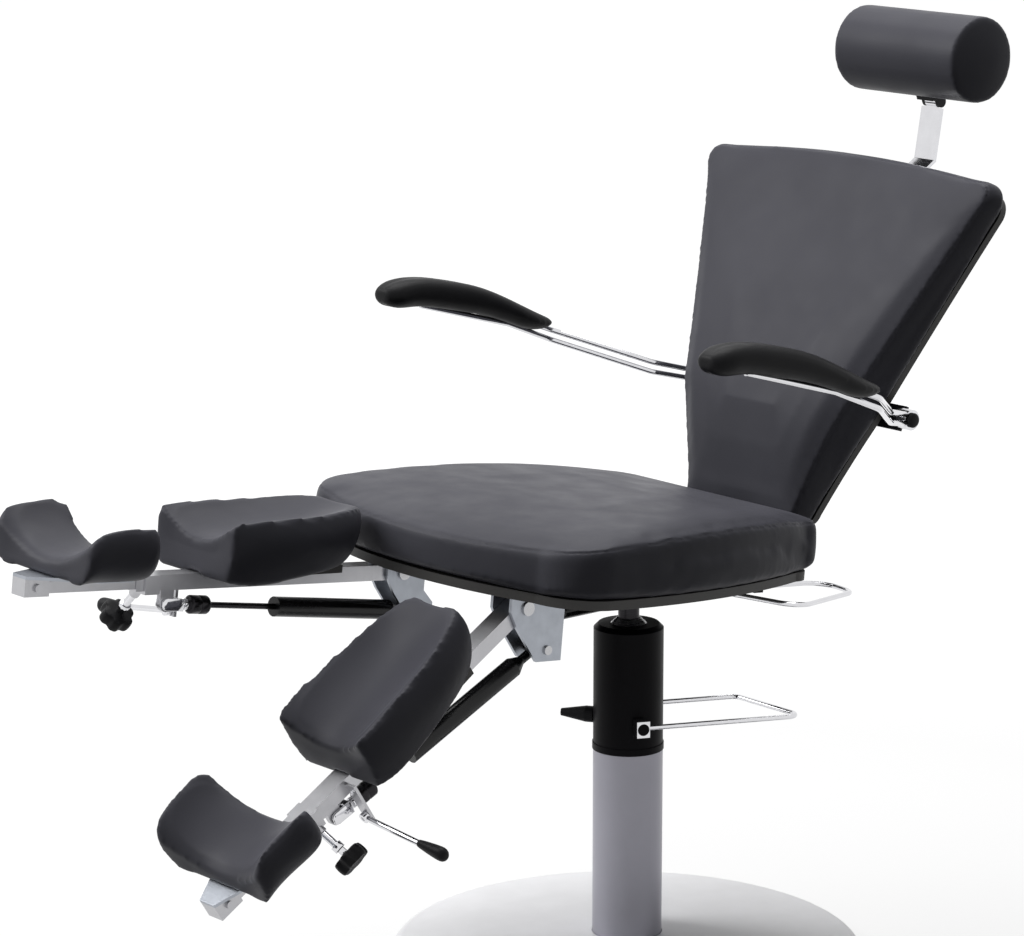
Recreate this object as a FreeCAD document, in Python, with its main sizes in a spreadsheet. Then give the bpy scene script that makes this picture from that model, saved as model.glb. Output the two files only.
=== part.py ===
import FreeCAD, Part
import os
import re
from math import atan2, cos, degrees, hypot, pi, radians, sin

import Sketcher
from FreeCAD import Placement, Rotation, Vector

# Podiatry chair: pump column on a weighted disc, swivelling seat, reclining back with a
# headrest roll, folding armrests and two leg rests that tilt and extend one by one.
# Millimetres, +Z up, origin on the floor under the column. The sitter faces -Y.

SIZES = {
    "Base": {
        "ring_inset": 8, "ring_width": 28, "ring_thick": 6,
        "plate_inset": 20, "plate_edge": 14, "plate_top": 26, "plate_hub": 78,
        "cover_radius": 320, "cover_foot": 3, "cover_wall": 2, "cover_rim": 16,
        "cover_rim_top": 30, "cover_top": 46, "cover_neck": 62, "cover_gap": 1,
        "flange_radius": 70, "flange_thick": 8, "bolt_circle": 58, "bolt_radius": 5,
        "bolt_hole_gap": 0.4, "bolt_length": 22, "bolt_head": 8, "bolt_head_height": 6,
    },
    "Column": {
        "column_radius": 47, "column_wall": 4, "column_top": 303,
        "pump_radius": 36, "pump_bore": 26, "pump_floor": 10, "pump_above": 81,
        "lip_height": 9, "lip_step": 1.2, "housing_height": 79,
        "sleeve_height": 88, "sleeve_shoulder": 6, "sleeve_crown": 41, "sleeve_lip": 8,
        "wiper_height": 8, "wiper_radius": 24, "rod_gap": 0.05, "bore_gap": 0.3,
        "pedal_above": 42, "stub_radius": 8, "stub_reach": 68,
        "knob_turn": 213.7, "knob_screw": 4, "knob_root": 11, "knob_tip": 5,
        "knob_length": 46, "knob_seat_gap": 0.3,
    },
    "Pedal": {
        "pedal_turn": -24, "pedal_wire": 3.5, "pedal_half_width": 59, "pedal_reach": 200,
        "pedal_skew": 52, "pedal_bend": 12, "clamp_size": 18, "clamp_height": 22,
    },
    "Lift": {
        "rod_radius": 14.3, "rod_length": 362, "rod_shows": 42, "head_height": 26,
        "head_gap": 0.1, "spigot_radius": 11, "spigot_length": 34, "spigot_gap": 0.05,
        "hub_radius": 30, "hub_gap": 2, "hub_height": 39,
    },
    "Seat": {
        "seat_above": 60, "seat_tilt": 6, "board_thick": 12, "pad_thick": 82, "pad_crown": 6,
        "pad_tuck": 8, "pad_draw": 3, "pad_fall": 29, "pad_apex": 60, "seat_half": 288,
        "seat_front": 392, "seat_front_half": 215, "seat_front_side": 352,
        "seat_corner_x": 268, "seat_corner_y": 330, "seat_side_y": 285, "seat_waist_x": 262,
        "seat_waist_y": 60, "seat_rear_half": 196, "seat_rear_side": 142,
        "seat_rear_corner_x": 188, "seat_rear_corner_y": 166, "seat_rear_flat": 166,
        "seat_rear": 178, "board_inset": 14, "rail_spread": 70, "rail_width": 20,
        "rail_height": 25, "rail_wall": 2.5, "rail_front": 262, "rail_rear": 170,
        "cross_width": 24, "hub_plate_half_x": 84, "hub_plate_half_y": 72,
        "hub_plate_thick": 6,
    },
    "LegHinge": {
        "leg_spread": 125, "hinge_front": 298, "hinge_drop": 32.3, "raised_angle": 6.8,
        "lowered_angle": 32.2, "pin_radius": 6, "pin_gap": 0.05, "pin_head": 9,
        "pin_head_thick": 3, "cheek_thick": 5, "cheek_gap": 0.6, "web_thick": 4,
        "spring_back": 38, "spring_drop": 55.4, "spring_pin": 4, "cheek_nose": 27,
        "cheek_chin": 15, "cheek_throat": 25, "cheek_waist": 21, "cheek_depth": 70,
        "cheek_tail": 62, "cheek_short": 14,
    },
    "Leg": {
        "tube_half_width": 15, "tube_half_height": 10, "tube_wall": 2.4, "tube_length": 420,
        "tube_tail": 8, "inner_gap": 0.2, "inner_wall": 2, "inner_overlap": 220, "inner_reach": 146,
        "tip_length": 36, "tip_half_width": 14, "tip_half_height": 11, "tip_bolt": 5,
        "tip_bolt_head": 4, "lug_inset": 56, "lug_n": 30, "lug_radius": 10, "lug_half": 4,
        "ear_gap": 0.5, "ear_thick": 4, "calf_board_thick": 10, "calf_board_inset": 12,
        "calf_length": 232, "calf_clear": 92, "calf_half": 86, "calf_top_knee": 94,
        "calf_dip": 34, "calf_knee_half": 46, "calf_lift": 30,
        "heel_back": 116, "heel_length": 106, "heel_half": 112, "heel_base_half": 62,
        "heel_top": 86, "heel_dip": 48, "heel_plate_thick": 4, "heel_plate_half": 55,
        "lowered_slide_in": 18, "knob_inset": 22, "knob_tilt": 45, "stem_radius": 5,
        "star_radius": 13, "star_lobe": 6.5, "star_thick": 18, "star_hub": 12,
        "clamp_block": 22, "lever_wire": 4, "lever_reach": 132, "grip_radius": 7,
        "grip_length": 32, "lever_inset": 82, "lever_n": 44, "lever_x_root": 26,
        "lever_slope": 8, "lever_eye": 7, "lever_pin": 3, "lever_plate": 4, "boss_radius": 7,
        "boss_start": 16, "boss_end": 28, "stem_end": 66,
    },
    "LegSpring": {
        "cylinder_radius": 13, "cylinder_start": 30, "cylinder_end": 232, "cylinder_cone": 14,
        "spring_rod": 4, "rod_inside": 110, "release_radius": 12, "release_length": 30,
        "release_end": 36, "neck_radius": 6, "spring_wall": 2, "spring_cap": 8,
        "piston_length": 12, "fork_back": 24, "fork_web": 9, "fork_half": 8, "eye_radius": 9,
    },
    "Back": {
        "back_y": 195.2, "back_above": 35.6, "recline": 23.5, "back_thick": 42, "back_crown": 8,
        "back_board_thick": 10, "back_tuck": 8, "back_draw": 2.5, "back_lumbar": 24,
        "back_bottom_half": 92, "back_foot": -14, "back_foot_x": 105, "back_foot_y": -9,
        "back_foot_side": 113, "back_foot_rise": 6, "back_hip": 136, "back_hip_rise": 75,
        "back_waist": 165, "back_waist_rise": 150, "back_rib": 216, "back_rib_rise": 300,
        "back_half": 276, "back_shoulder_rise": 466, "back_corner_x": 274,
        "back_corner_rise": 490, "back_top_half": 253, "back_top_rise": 503, "back_arch": 516,
        "back_board_inset": 14, "spine_spread": 78, "spine_width": 28, "spine_thick": 8,
        "spine_foot": 0,
        "spine_top": 410, "brace_height": 30, "brace_low": 172, "brace_high": 365,
        "recline_rear": 236.2, "recline_rise": 10.7, "hinge_sleeve": 12, "sleeve_half": 84,
        "ear_radius": 12, "arm_plate": 6, "ear_plate": 6, "recline_gap": 1, "lever_arm": 66,
        "lever_lean": 20, "lever_x": 48, "lever_half": 4,
    },
    "BackSpring": {
        "back_spring_y": 112, "back_spring_drop": 78, "back_spring_radius": 11,
        "back_cylinder_start": 20, "back_cylinder_end": 215, "back_rod_inside": 90,
    },
    "Release": {
        "handle_x": 106, "handle_rear": 262, "handle_front": 52, "handle_wire": 3.5,
        "handle_out_rear": 178, "handle_out_front": 236, "handle_out_y": 92,
        "handle_drop": 34, "handle_bend": 30, "bearing_length": 16, "bearing_size": 14,
        "bearing_low": 98, "bearing_high": 128, "bearing_gap": 0.06,
    },
    "Arm": {
        "arm_x": 322, "arm_pivot_y": 318, "arm_above": 170, "arm_hub_x": 192,
        "arm_hub_width": 16, "arm_hub_radius": 14, "arm_ear_x": 185, "arm_ear_thick": 5,
        "arm_ear_half": 17, "arm_bar": 4, "arm_bend": 40, "arm_pin": 5, "bar_front": 95,
        "bar_front_up": 143, "bar_mid": 60, "bar_mid_up": 100, "bar_rear": 140, "bar_rear_up": 70,
        "bar_in_x": 235, "bar_in_y": 250, "bar_in_up": 24, "bar_gap_front": 12,
        "bar_gap_rear": 14, "bar_gap_hub": 12, "arm_tip": 165, "arm_pad_length": 295,
        "arm_pad_half": 28, "arm_pad_thick": 36, "arm_top": 169, "arm_fall": 82,
    },
    "Headrest": {
        "roll_y": 536, "roll_up": 591.4, "roll_radius": 60, "roll_half": 116, "roll_dome": 6,
        "roll_edge": 6, "stem_width": 38, "stem_thick": 5, "stem_depth": 68,
        "stem_low": 170, "stem_crank": 432, "stem_out_y": 146, "stem_out_rise": 546,
        "knuckle_y": 562, "knuckle_up": 523.4, "knuckle_radius": 8, "knuckle_half": 10,
        "knuckle_ear": 5, "knuckle_gap": 0.3, "knuckle_pin": 4, "saddle_half": 16,
        "guide_half": 30, "guide_height": 44, "guide_gap": 0.3, "guide_wall": 6,
        "guide_screw": 5, "guide_knob_length": 20,
    },
}

# Heights and places that follow from other sizes
DERIVED = {
    "ring_outer": "cover_radius - ring_inset",
    "ring_inner": "ring_outer - ring_width",
    "plate_radius": "cover_radius - plate_inset",
    "pump_top": "column_top + pump_above",
    "pedal_height": "column_top + pedal_above",
    "housing_top": "column_top + housing_height",
    "sleeve_top": "housing_top + sleeve_height",
    "rod_top": "sleeve_top + rod_shows",
    "rod_foot": "rod_top - rod_length",
    "spigot_top": "rod_top + spigot_length",
    "hub_foot": "rod_top + hub_gap",
    "hub_top": "hub_foot + hub_height",
    "seat_height": "rod_top + seat_above",
    "knob_s": "tube_length - knob_inset",
    "lug_s": "tube_length - lug_inset",
    "lever_s": "tube_length - lever_inset",
    "inner_start": "tube_length - inner_overlap",
    "inner_end": "tube_length + inner_reach",
    "calf_end": "tube_length - calf_clear",
    "calf_start": "calf_end - calf_length",
    "heel_start": "inner_end - heel_back",
    "back_z": "seat_height + back_above",
    "back_spring_z": "seat_height - back_spring_drop",
    "arm_pivot_z": "seat_height + arm_above",
    "bar_front_z": "arm_pivot_z + bar_front_up",
    "bar_mid_z": "arm_pivot_z + bar_mid_up",
    "bar_rear_z": "arm_pivot_z + bar_rear_up",
    "bar_in_z": "arm_pivot_z + bar_in_up",
    "arm_pad_top": "arm_pivot_z + arm_top",
    "roll_z": "back_z + roll_up",
    "knuckle_z": "back_z + knuckle_up",
}

doc = FreeCAD.newDocument("podiatry_chair")
sheet = doc.addObject("Spreadsheet::Sheet", "Sizes")
kept = []


def fill_sheet():
    """Write each size in its own cell, with its name beside it and as its alias."""
    row = 1
    for group, sizes in SIZES.items():
        sheet.set(f"A{row}", group)
        row += 1
        for name, value in sizes.items():
            sheet.set(f"A{row}", name)
            sheet.set(f"B{row}", str(value))
            sheet.setAlias(f"B{row}", name)
            row += 1
    doc.recompute()


fill_sheet()


ALIASES = {name for sizes in SIZES.values() for name in sizes}


def linked(text):
    """Turn a sum of size names into an expression on the sheet."""
    def written(match):
        name = match[0]
        if name in DERIVED:
            return f"({linked(DERIVED[name])})"
        return "Sizes." + name if name in ALIASES else name
    return re.sub(r"[a-z]\w*", written, text)


class Values:
    """Reads sizes as plain numbers for the shapes that are worked out here."""

    def __getattr__(self, name):
        return float(sheet.evalExpression(linked(name)))


S = Values()


def bind(obj, prop, text):
    obj.setExpression(prop, linked(text))


def keep(obj, label, frame=None):
    """Name a finished sub-part and put it in its frame."""
    obj.Label = label
    if frame is not None:
        obj.Placement = frame
    kept.append(obj)
    return obj


def tilted(y, z, angle):
    """A frame on the YZ plane, turned about X."""
    return Placement(Vector(0, y, z), Rotation(Vector(1, 0, 0), angle))


TURNS = {
    "x": Rotation(Vector(0, 1, 0), 90),
    "y": Rotation(Vector(1, 0, 0), -90),
    "foot": Rotation(Vector(1, 0, 0), 90),
    "z": Rotation(),
}


def put(obj, place, turn="z"):
    """Place by a Placement, or by three sizes and a turn."""
    if isinstance(place, Placement):
        obj.Placement = place
        return obj
    obj.Placement.Rotation = TURNS[turn] if isinstance(turn, str) else turn
    for axis, text in zip("xyz", place):
        bind(obj, "Placement.Base." + axis, text)
    return obj


def cylinder(radius, length, place=("0", "0", "0"), turn="z"):
    obj = doc.addObject("Part::Cylinder", "Cylinder")
    bind(obj, "Radius", radius)
    bind(obj, "Height", length)
    return put(obj, place, turn)


def box(width, depth, height, place):
    """A box centred on X; place is the low Y and Z."""
    obj = doc.addObject("Part::Box", "Box")
    bind(obj, "Length", width)
    bind(obj, "Width", depth)
    bind(obj, "Height", height)
    x, y, z = place
    return put(obj, (f"{x} - ({width}) / 2", y, z))


def cut(base, tools):
    obj = doc.addObject("Part::Cut", "Cut")
    obj.Base = base
    obj.Tool = tools[0] if len(tools) == 1 else fuse(tools)
    return obj


def fuse(parts):
    obj = doc.addObject("Part::MultiFuse", "Fuse")
    obj.Shapes = parts
    return obj


def group(parts):
    obj = doc.addObject("Part::Compound", "Group")
    obj.Links = parts
    return obj


def feature(shape, label, frame=None):
    obj = doc.addObject("Part::Feature", "Shape")
    obj.Shape = shape
    return keep(obj, label, frame)


def origin_plane(body, role):
    return next(f for f in body.Origin.OriginFeatures if f.Role == role)


def new_body():
    return doc.addObject("PartDesign::Body", "Body")


def new_sketch(body, role, offset="0"):
    sketch = body.newObject("Sketcher::SketchObject", "Sketch")
    sketch.AttachmentSupport = (origin_plane(body, role), [""])
    sketch.MapMode = "FlatFace"
    if offset != "0":
        bind(sketch, "AttachmentOffset.Base.z", offset)
    return sketch


def hold(sketch, kind, geometry, point, text):
    """One dimension of a sketch, driven by the sheet."""
    number = sketch.addConstraint(Sketcher.Constraint(kind, geometry, point, 1.0))
    sketch.setExpression(f"Constraints[{number}]", linked(text))


def outline_sketch(body, role, outline, offset="0"):
    """A closed outline of straight lines whose corners are pairs of sums of sizes."""
    sketch = new_sketch(body, role, offset)
    count = len(outline)
    spots = [Vector(cos(2 * pi * i / count), sin(2 * pi * i / count), 0) for i in range(count)]
    for i in range(count):
        sketch.addGeometry(Part.LineSegment(spots[i], spots[(i + 1) % count]), False)
    for i in range(count):
        sketch.addConstraint(Sketcher.Constraint("Coincident", i, 2, (i + 1) % count, 1))
    for i, (across, along) in enumerate(outline):
        hold(sketch, "DistanceX", i, 1, across)
        hold(sketch, "DistanceY", i, 1, along)
    return sketch


def circle_sketch(body, role, spots, radius, offset="0"):
    sketch = new_sketch(body, role, offset)
    for i, (across, along) in enumerate(spots):
        sketch.addGeometry(Part.Circle(Vector(i, i, 0), Vector(0, 0, 1), 1), False)
        hold(sketch, "DistanceX", i, 3, across)
        hold(sketch, "DistanceY", i, 3, along)
        number = sketch.addConstraint(Sketcher.Constraint("Radius", i, 1.0))
        sketch.setExpression(f"Constraints[{number}]", linked(radius))
    return sketch


def pad(body, sketch, length, symmetric=True):
    obj = body.newObject("PartDesign::Pad", "Pad")
    obj.Profile = sketch
    obj.SideType = "Symmetric" if symmetric else "One side"
    bind(obj, "Length", length)
    return obj


def drill(body, sketch, length):
    """A pocket that runs the given length to both sides of its sketch together."""
    obj = body.newObject("PartDesign::Pocket", "Pocket")
    obj.Profile = sketch
    obj.SideType = "Symmetric"
    bind(obj, "Length", length)
    return obj


def turned(outline, label, frame=None):
    """A body turned about its own Z axis from an outline of (radius, height) pairs."""
    body = new_body()
    sketch = outline_sketch(body, "XZ_Plane", outline)
    turn = body.newObject("PartDesign::Revolution", "Revolution")
    turn.Profile = sketch
    turn.ReferenceAxis = (sketch, ["V_Axis"])
    return keep(body, label, frame)


def arc(a, b, c):
    return Part.Arc(a, b, c).toShape()


def line(a, b):
    return Part.LineSegment(a, b).toShape()


def bent_wire(points, radius, bend, closed=False):
    """Round wire along straight runs joined by arcs that touch both runs."""
    count = len(points)
    corners = range(count) if closed else range(1, count - 1)
    cuts = {}
    for i in corners:
        before = (points[i - 1] - points[i]).normalize()
        after = (points[(i + 1) % count] - points[i]).normalize()
        half = before.getAngle(after) / 2
        reach = bend * cos(half) / sin(half)
        middle = (before + after).normalize()
        centre = points[i] + middle * (bend / sin(half))
        cuts[i] = (points[i] + before * reach, centre - middle * bend, points[i] + after * reach)
    edges = []
    for i in range(count if closed else count - 1):
        j = (i + 1) % count
        start = cuts[i][2] if i in cuts else points[i]
        end = cuts[j][0] if j in cuts else points[j]
        edges.append(line(start, end))
        if j in cuts:
            edges.append(arc(*cuts[j]))
    path = Part.Wire(edges)
    first = edges[0]
    start = first.Vertexes[0].Point
    way = first.tangentAt(first.FirstParameter)
    ring = Part.Wire(Part.makeCircle(radius, start, way))
    return path.makePipeShell([ring], True, False)


def scaled_outline(points, centre, inset, half, depth):
    """The outline's points drawn in towards its centre by the inset."""
    across = (half - inset) / half
    along = (depth - inset) / depth
    return [((x - centre[0]) * across + centre[0], (y - centre[1]) * along + centre[1])
            for x, y in points]


def arcs_wire(points, lift):
    """A closed wire of arcs and lines: L starts a line, A an arc through the next point."""
    edges = []
    i = 0
    spots = [lift(*p[1:]) for p in points]
    while i < len(points):
        if points[i][0] == "A":
            edges.append(arc(spots[i], spots[i + 1], spots[(i + 2) % len(points)]))
            i += 2
        else:
            edges.append(line(spots[i], spots[(i + 1) % len(points)]))
            i += 1
    return Part.Wire(edges)


def with_kinds(kinds, points):
    return [(kind, x, y) for kind, (x, y) in zip(kinds, points)]


SEAT_KINDS = "AvAvAvAvLAvAvAv"
BACK_KINDS = "LAvAvAvAvAvAvAvAvAv"
CHANNEL_KINDS = "LAvAvAv"


def drawn_loft(kinds, points, centre, half, depth, layers, lift):
    """A cushion through outlines drawn in by each layer's inset; lift puts a point at a height.

    The last outline lies level between its two ends, so that it closes with a flat face.
    """
    wires = []
    for height, inset in layers:
        outline = scaled_outline(points, centre, inset, half, depth)
        spots = with_kinds(kinds, outline)
        wires.append(arcs_wire(spots, lambda x, y: lift(x, y, height)))
    low = min(y for _, y in outline)
    high = max(y for _, y in outline)
    start = lift(0, low, height)
    rise = lift(0, high, height) - start
    wires[-1] = arcs_wire(spots, lambda x, y: (
        Vector(x, 0, 0) + start + rise * ((y - low) / (high - low))))
    return Part.makeLoft(wires, True, True)


CROWN_SHARES = (0.25, 0.5, 0.8, 1)
crown_rise_share = 0.95
crown_inset_share = 0.7


def cushion_layers(thick, crown, tuck, draw, depth):
    """Heights and insets of a cushion: tucked foot, full side, drawn-in brow and crown."""
    layers = [(0, tuck), (tuck, draw / 4), (thick / 2, 0), (thick - 2 * tuck, draw / 4),
              (thick - tuck, draw), (thick - tuck / 3, 2 * draw)]
    for share in CROWN_SHARES:
        layers.append((thick + crown * sin(share * pi / 2) * crown_rise_share,
                       2 * draw + share * depth * crown_inset_share))
    return layers


def channel_loft(stations):
    """A pad with a trough along its top, through sections square to the leg."""
    wires = []
    for along, base, side, crest, bottom, top, dip in stations:
        middle = (bottom + top) / 2
        points = [(-base, bottom), (base, bottom), (side, middle), (crest, top), (0, top - dip),
                  (-crest, top), (-side, middle)]
        spots = with_kinds(CHANNEL_KINDS, points)
        wires.append(arcs_wire(spots, lambda x, z: Vector(x, -along, z)))
    return Part.makeLoft(wires, True, False)


# Frames of the seat and back, and the hinges that the seat carries
seat_frame = tilted(0, S.seat_height, -S.seat_tilt)
back_frame = tilted(S.back_y, S.back_z, -S.recline)
leg_hinge = seat_frame.multVec(Vector(0, -S.hinge_front, -S.hinge_drop))
spring_top = seat_frame.multVec(Vector(0, -S.hinge_front + S.spring_back,
                                       -S.hinge_drop - S.spring_drop))
recline_hinge = seat_frame.multVec(Vector(0, S.recline_rear, S.recline_rise))
lever_tip = recline_hinge + Vector(0, S.lever_arm * sin(radians(S.lever_lean)),
                                   -S.lever_arm * cos(radians(S.lever_lean)))

# Each leg rest's side, tilt and how far its extension is pushed in
SIDES = {"left": (1, S.lowered_angle, S.lowered_slide_in), "right": (-1, -S.raised_angle, 0)}

# Base and column
turned([("ring_inner", "0"), ("ring_outer", "0"), ("ring_outer", "ring_thick"),
        ("ring_inner", "ring_thick")], "floor_ring")

QUARTERS = [("bolt_circle", "0"), ("0", "bolt_circle"), ("-bolt_circle", "0"),
            ("0", "-bolt_circle")]
plate = turned([("0", "ring_thick"), ("plate_radius", "ring_thick"),
                ("plate_radius", "ring_thick + plate_edge"), ("plate_hub", "plate_top"),
                ("0", "plate_top")], "base_plate")
drill(plate, circle_sketch(plate, "XY_Plane", QUARTERS, "bolt_radius + bolt_hole_gap",
                           "plate_top"), "2 * (bolt_length - flange_thick + bolt_hole_gap)")


def cover_edges(drop):
    """The cover's section from its foot over the rim to its neck, offset inwards by drop."""
    foot = Vector(S.cover_radius - drop, 0, S.cover_foot)
    side = Vector(S.cover_radius - drop, 0, S.cover_rim_top - S.cover_rim)
    corner = S.cover_rim - drop
    middle = Vector(S.cover_radius - S.cover_rim + corner * cos(pi / 4), 0,
                    S.cover_rim_top - S.cover_rim + corner * sin(pi / 4))
    top = Vector(S.cover_radius - S.cover_rim, 0, S.cover_rim_top - drop)
    neck = Vector(S.cover_neck, 0, S.cover_top - drop)
    crown = (top + neck) * 0.5 + Vector(0, 0, S.cover_wall)
    mouth = Vector(S.column_radius + S.cover_gap, 0, S.cover_top - drop)
    return [line(foot, side), arc(side, middle, top), arc(top, crown, neck), line(neck, mouth)]


outer_edges = cover_edges(0)
inner_edges = cover_edges(S.cover_wall)
cover_ends = [line(outer_edges[0].Vertexes[0].Point, inner_edges[0].Vertexes[0].Point),
              line(outer_edges[-1].Vertexes[-1].Point, inner_edges[-1].Vertexes[-1].Point)]
cover_face = Part.Face(Part.Wire(Part.__sortEdges__(outer_edges + inner_edges + cover_ends)))
feature(cover_face.revolve(Vector(), Vector(0, 0, 1), 360), "base_cover")

column = turned([("column_radius - column_wall", "plate_top"), ("flange_radius", "plate_top"),
                 ("flange_radius", "plate_top + flange_thick"),
                 ("column_radius", "plate_top + flange_thick"), ("column_radius", "column_top"),
                 ("column_radius - column_wall", "column_top")], "column_tube")
drill(column, circle_sketch(column, "XY_Plane", QUARTERS, "bolt_radius + bolt_hole_gap",
                            "plate_top"), "4 * flange_thick")

bolts = []
for across, along in QUARTERS:
    head = doc.addObject("Part::Prism", "Head")
    head.Polygon = 6
    bind(head, "Circumradius", "bolt_head")
    bind(head, "Height", "bolt_head_height")
    put(head, (across, along, "plate_top + flange_thick"))
    shank = cylinder("bolt_radius", "bolt_length",
                     (across, along, "plate_top + flange_thick - bolt_length"))
    bolts.append(fuse([head, shank]))
keep(group(bolts), "base_bolts")

turned([("0", "plate_top"), ("pump_radius", "plate_top"), ("pump_radius", "pump_top"),
        ("pump_bore", "pump_top"), ("pump_bore", "plate_top + pump_floor"),
        ("0", "plate_top + pump_floor")], "pump_cylinder")

stub_turn = Rotation(Vector(0, 0, 1), S.pedal_turn)
knob_way = Rotation(Vector(0, 0, 1), S.knob_turn).multiply(TURNS["x"])
shell = fuse([cylinder("column_radius", "housing_top - column_top", ("0", "0", "column_top")),
              cylinder("column_radius + lip_step", "lip_height", ("0", "0", "column_top"))])
stubs = []
for turn in (0, 180):
    way = stub_turn.multiply(Rotation(Vector(0, 0, 1), turn)).multiply(TURNS["x"])
    start = way.multVec(Vector(0, 0, S.column_radius - S.column_wall))
    stubs.append(cylinder("stub_radius", "stub_reach - column_radius + column_wall",
                          Placement(start + Vector(0, 0, S.pedal_height), way)))
knob_hole = cylinder("knob_screw + pin_gap", "column_radius + knob_length",
                     Placement(Vector(0, 0, S.pedal_height), knob_way))
pump_hole = cylinder("pump_radius + bore_gap", "2 * housing_top")
keep(cut(fuse([cut(shell, [pump_hole])] + stubs), [knob_hole]), "pump_housing")

turned([("pump_radius + bore_gap", "housing_top"), ("column_radius", "housing_top"),
        ("column_radius", "sleeve_top"), ("sleeve_crown", "sleeve_top + sleeve_shoulder"),
        ("wiper_radius", "sleeve_top + sleeve_shoulder"),
        ("wiper_radius", "sleeve_top - sleeve_lip"),
        ("pump_radius + bore_gap", "sleeve_top - sleeve_lip")], "upper_sleeve")

turned([("rod_radius + rod_gap", "pump_top"), ("pump_radius", "pump_top"),
        ("pump_radius", "sleeve_top - sleeve_lip"), ("wiper_radius", "sleeve_top - sleeve_lip"),
        ("wiper_radius", "sleeve_top + sleeve_shoulder"),
        ("rod_radius + ear_gap", "sleeve_top + sleeve_shoulder + wiper_height"),
        ("rod_radius + rod_gap", "sleeve_top + sleeve_shoulder + wiper_height")], "piston_bush")

# Swivel brake's knob, turned about its own screw
screw_root = "column_radius - column_wall - knob_screw"
turned([("0", screw_root), ("knob_screw", screw_root),
        ("knob_screw", "column_radius + knob_seat_gap"),
        ("knob_root", "column_radius + knob_seat_gap"),
        ("knob_root", "column_radius + knob_length / 4"),
        ("knob_tip", "column_radius + knob_length"), ("0", "column_radius + knob_length")],
       "brake_knob", Placement(Vector(0, 0, S.pedal_height), knob_way))

# Foot stirrup of the pump, in a frame turned about the column
pedal_frame = Placement(Vector(0, 0, S.pedal_height), stub_turn)
pedal_start = S.clamp_size / 2
pedal_points = [Vector(-S.pedal_half_width, pedal_start, 0),
                Vector(-S.pedal_half_width, S.pedal_reach - S.pedal_skew / 2, 0),
                Vector(S.pedal_half_width, S.pedal_reach + S.pedal_skew / 2, 0),
                Vector(S.pedal_half_width, pedal_start, 0)]
feature(bent_wire(pedal_points, S.pedal_wire, S.pedal_bend), "pump_pedal", pedal_frame)
clamps = []
for spot in ("-pedal_half_width", "pedal_half_width"):
    block = box("clamp_size", "clamp_size", "clamp_height",
                (spot, "-clamp_size / 2", "-clamp_height / 2"))
    bore = cylinder("stub_radius + rod_gap", "2 * clamp_size", (f"{spot} - clamp_size", "0", "0"),
                    "x")
    clamps.append(cut(block, [bore]))
keep(group(clamps), "pedal_clamps", pedal_frame)

# Lift
turned([("0", "rod_foot"), ("pump_bore - head_gap", "rod_foot"),
        ("pump_bore - head_gap", "rod_foot + head_height"),
        ("rod_radius", "rod_foot + head_height"), ("rod_radius", "rod_top"),
        ("spigot_radius", "rod_top"), ("spigot_radius", "spigot_top"), ("0", "spigot_top")],
       "piston_rod")

# Seat
hub_plate = doc.addObject("Part::Box", "Plate")
bind(hub_plate, "Length", "2 * hub_plate_half_x")
bind(hub_plate, "Width", "2 * hub_plate_half_y")
bind(hub_plate, "Height", "hub_plate_thick")
plate_corner = Vector(-S.hub_plate_half_x, -S.hub_plate_half_y,
                      -S.board_thick - S.rail_height - S.hub_plate_thick)
hub_plate.Placement = seat_frame.multiply(Placement(plate_corner, Rotation()))
hub = fuse([hub_plate, cylinder("hub_radius", "hub_top - hub_foot", ("0", "0", "hub_foot"))])
hub_bore = cylinder("spigot_radius + spigot_gap", "spigot_top + spigot_gap - rod_foot",
                    ("0", "0", "rod_foot"))
keep(cut(hub, [hub_bore]), "seat_hub")

RAIL_LOW = "-board_thick - rail_height"
rails = []
hollows = []
for sign in ("-", ""):
    rails.append(box("rail_width", "rail_front + rail_rear", "rail_height",
                     (f"{sign}rail_spread", "-rail_front", RAIL_LOW)))
    hollows.append(box("rail_width - 2 * rail_wall", "2 * (rail_front + rail_rear)",
                       "rail_height - 2 * rail_wall",
                       (f"{sign}rail_spread", "-2 * rail_front", RAIL_LOW + " + rail_wall")))
INNER_CHEEK = "(leg_spread - tube_half_width - cheek_gap - cheek_thick)"
EAR_OUTER = "(sleeve_half + recline_gap + ear_plate)"
rails.append(box(f"2 * {INNER_CHEEK}", "cross_width", "rail_height",
                 ("0", "-rail_front", RAIL_LOW)))
rails.append(box(f"2 * {EAR_OUTER}", "cross_width", "rail_height",
                 ("0", "rail_rear - cross_width", RAIL_LOW)))
frame_tubes = cut(fuse(rails), hollows)

ears = new_body()
for sign in ("-", ""):
    low = "rail_rear - cross_width"
    pad(ears, outline_sketch(ears, "YZ_Plane", [
        (low, RAIL_LOW), ("rail_rear + ear_radius", RAIL_LOW),
        ("recline_rear + ear_radius", "recline_rise - ear_radius / 2"),
        ("recline_rear + ear_radius", "recline_rise + ear_radius / 2"),
        ("recline_rear + ear_radius / 2", "recline_rise + ear_radius"),
        ("recline_rear - ear_radius / 2", "recline_rise + ear_radius"),
        ("recline_rear - ear_radius", "recline_rise"),
        ("rail_rear", "-board_thick"), (low, "-board_thick")],
        f"{sign}({EAR_OUTER} - ear_plate / 2)"), "ear_plate")
drill(ears, circle_sketch(ears, "YZ_Plane", [("recline_rear", "recline_rise")], "pin_radius"),
      "4 * (sleeve_half + ear_plate)")

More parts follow.
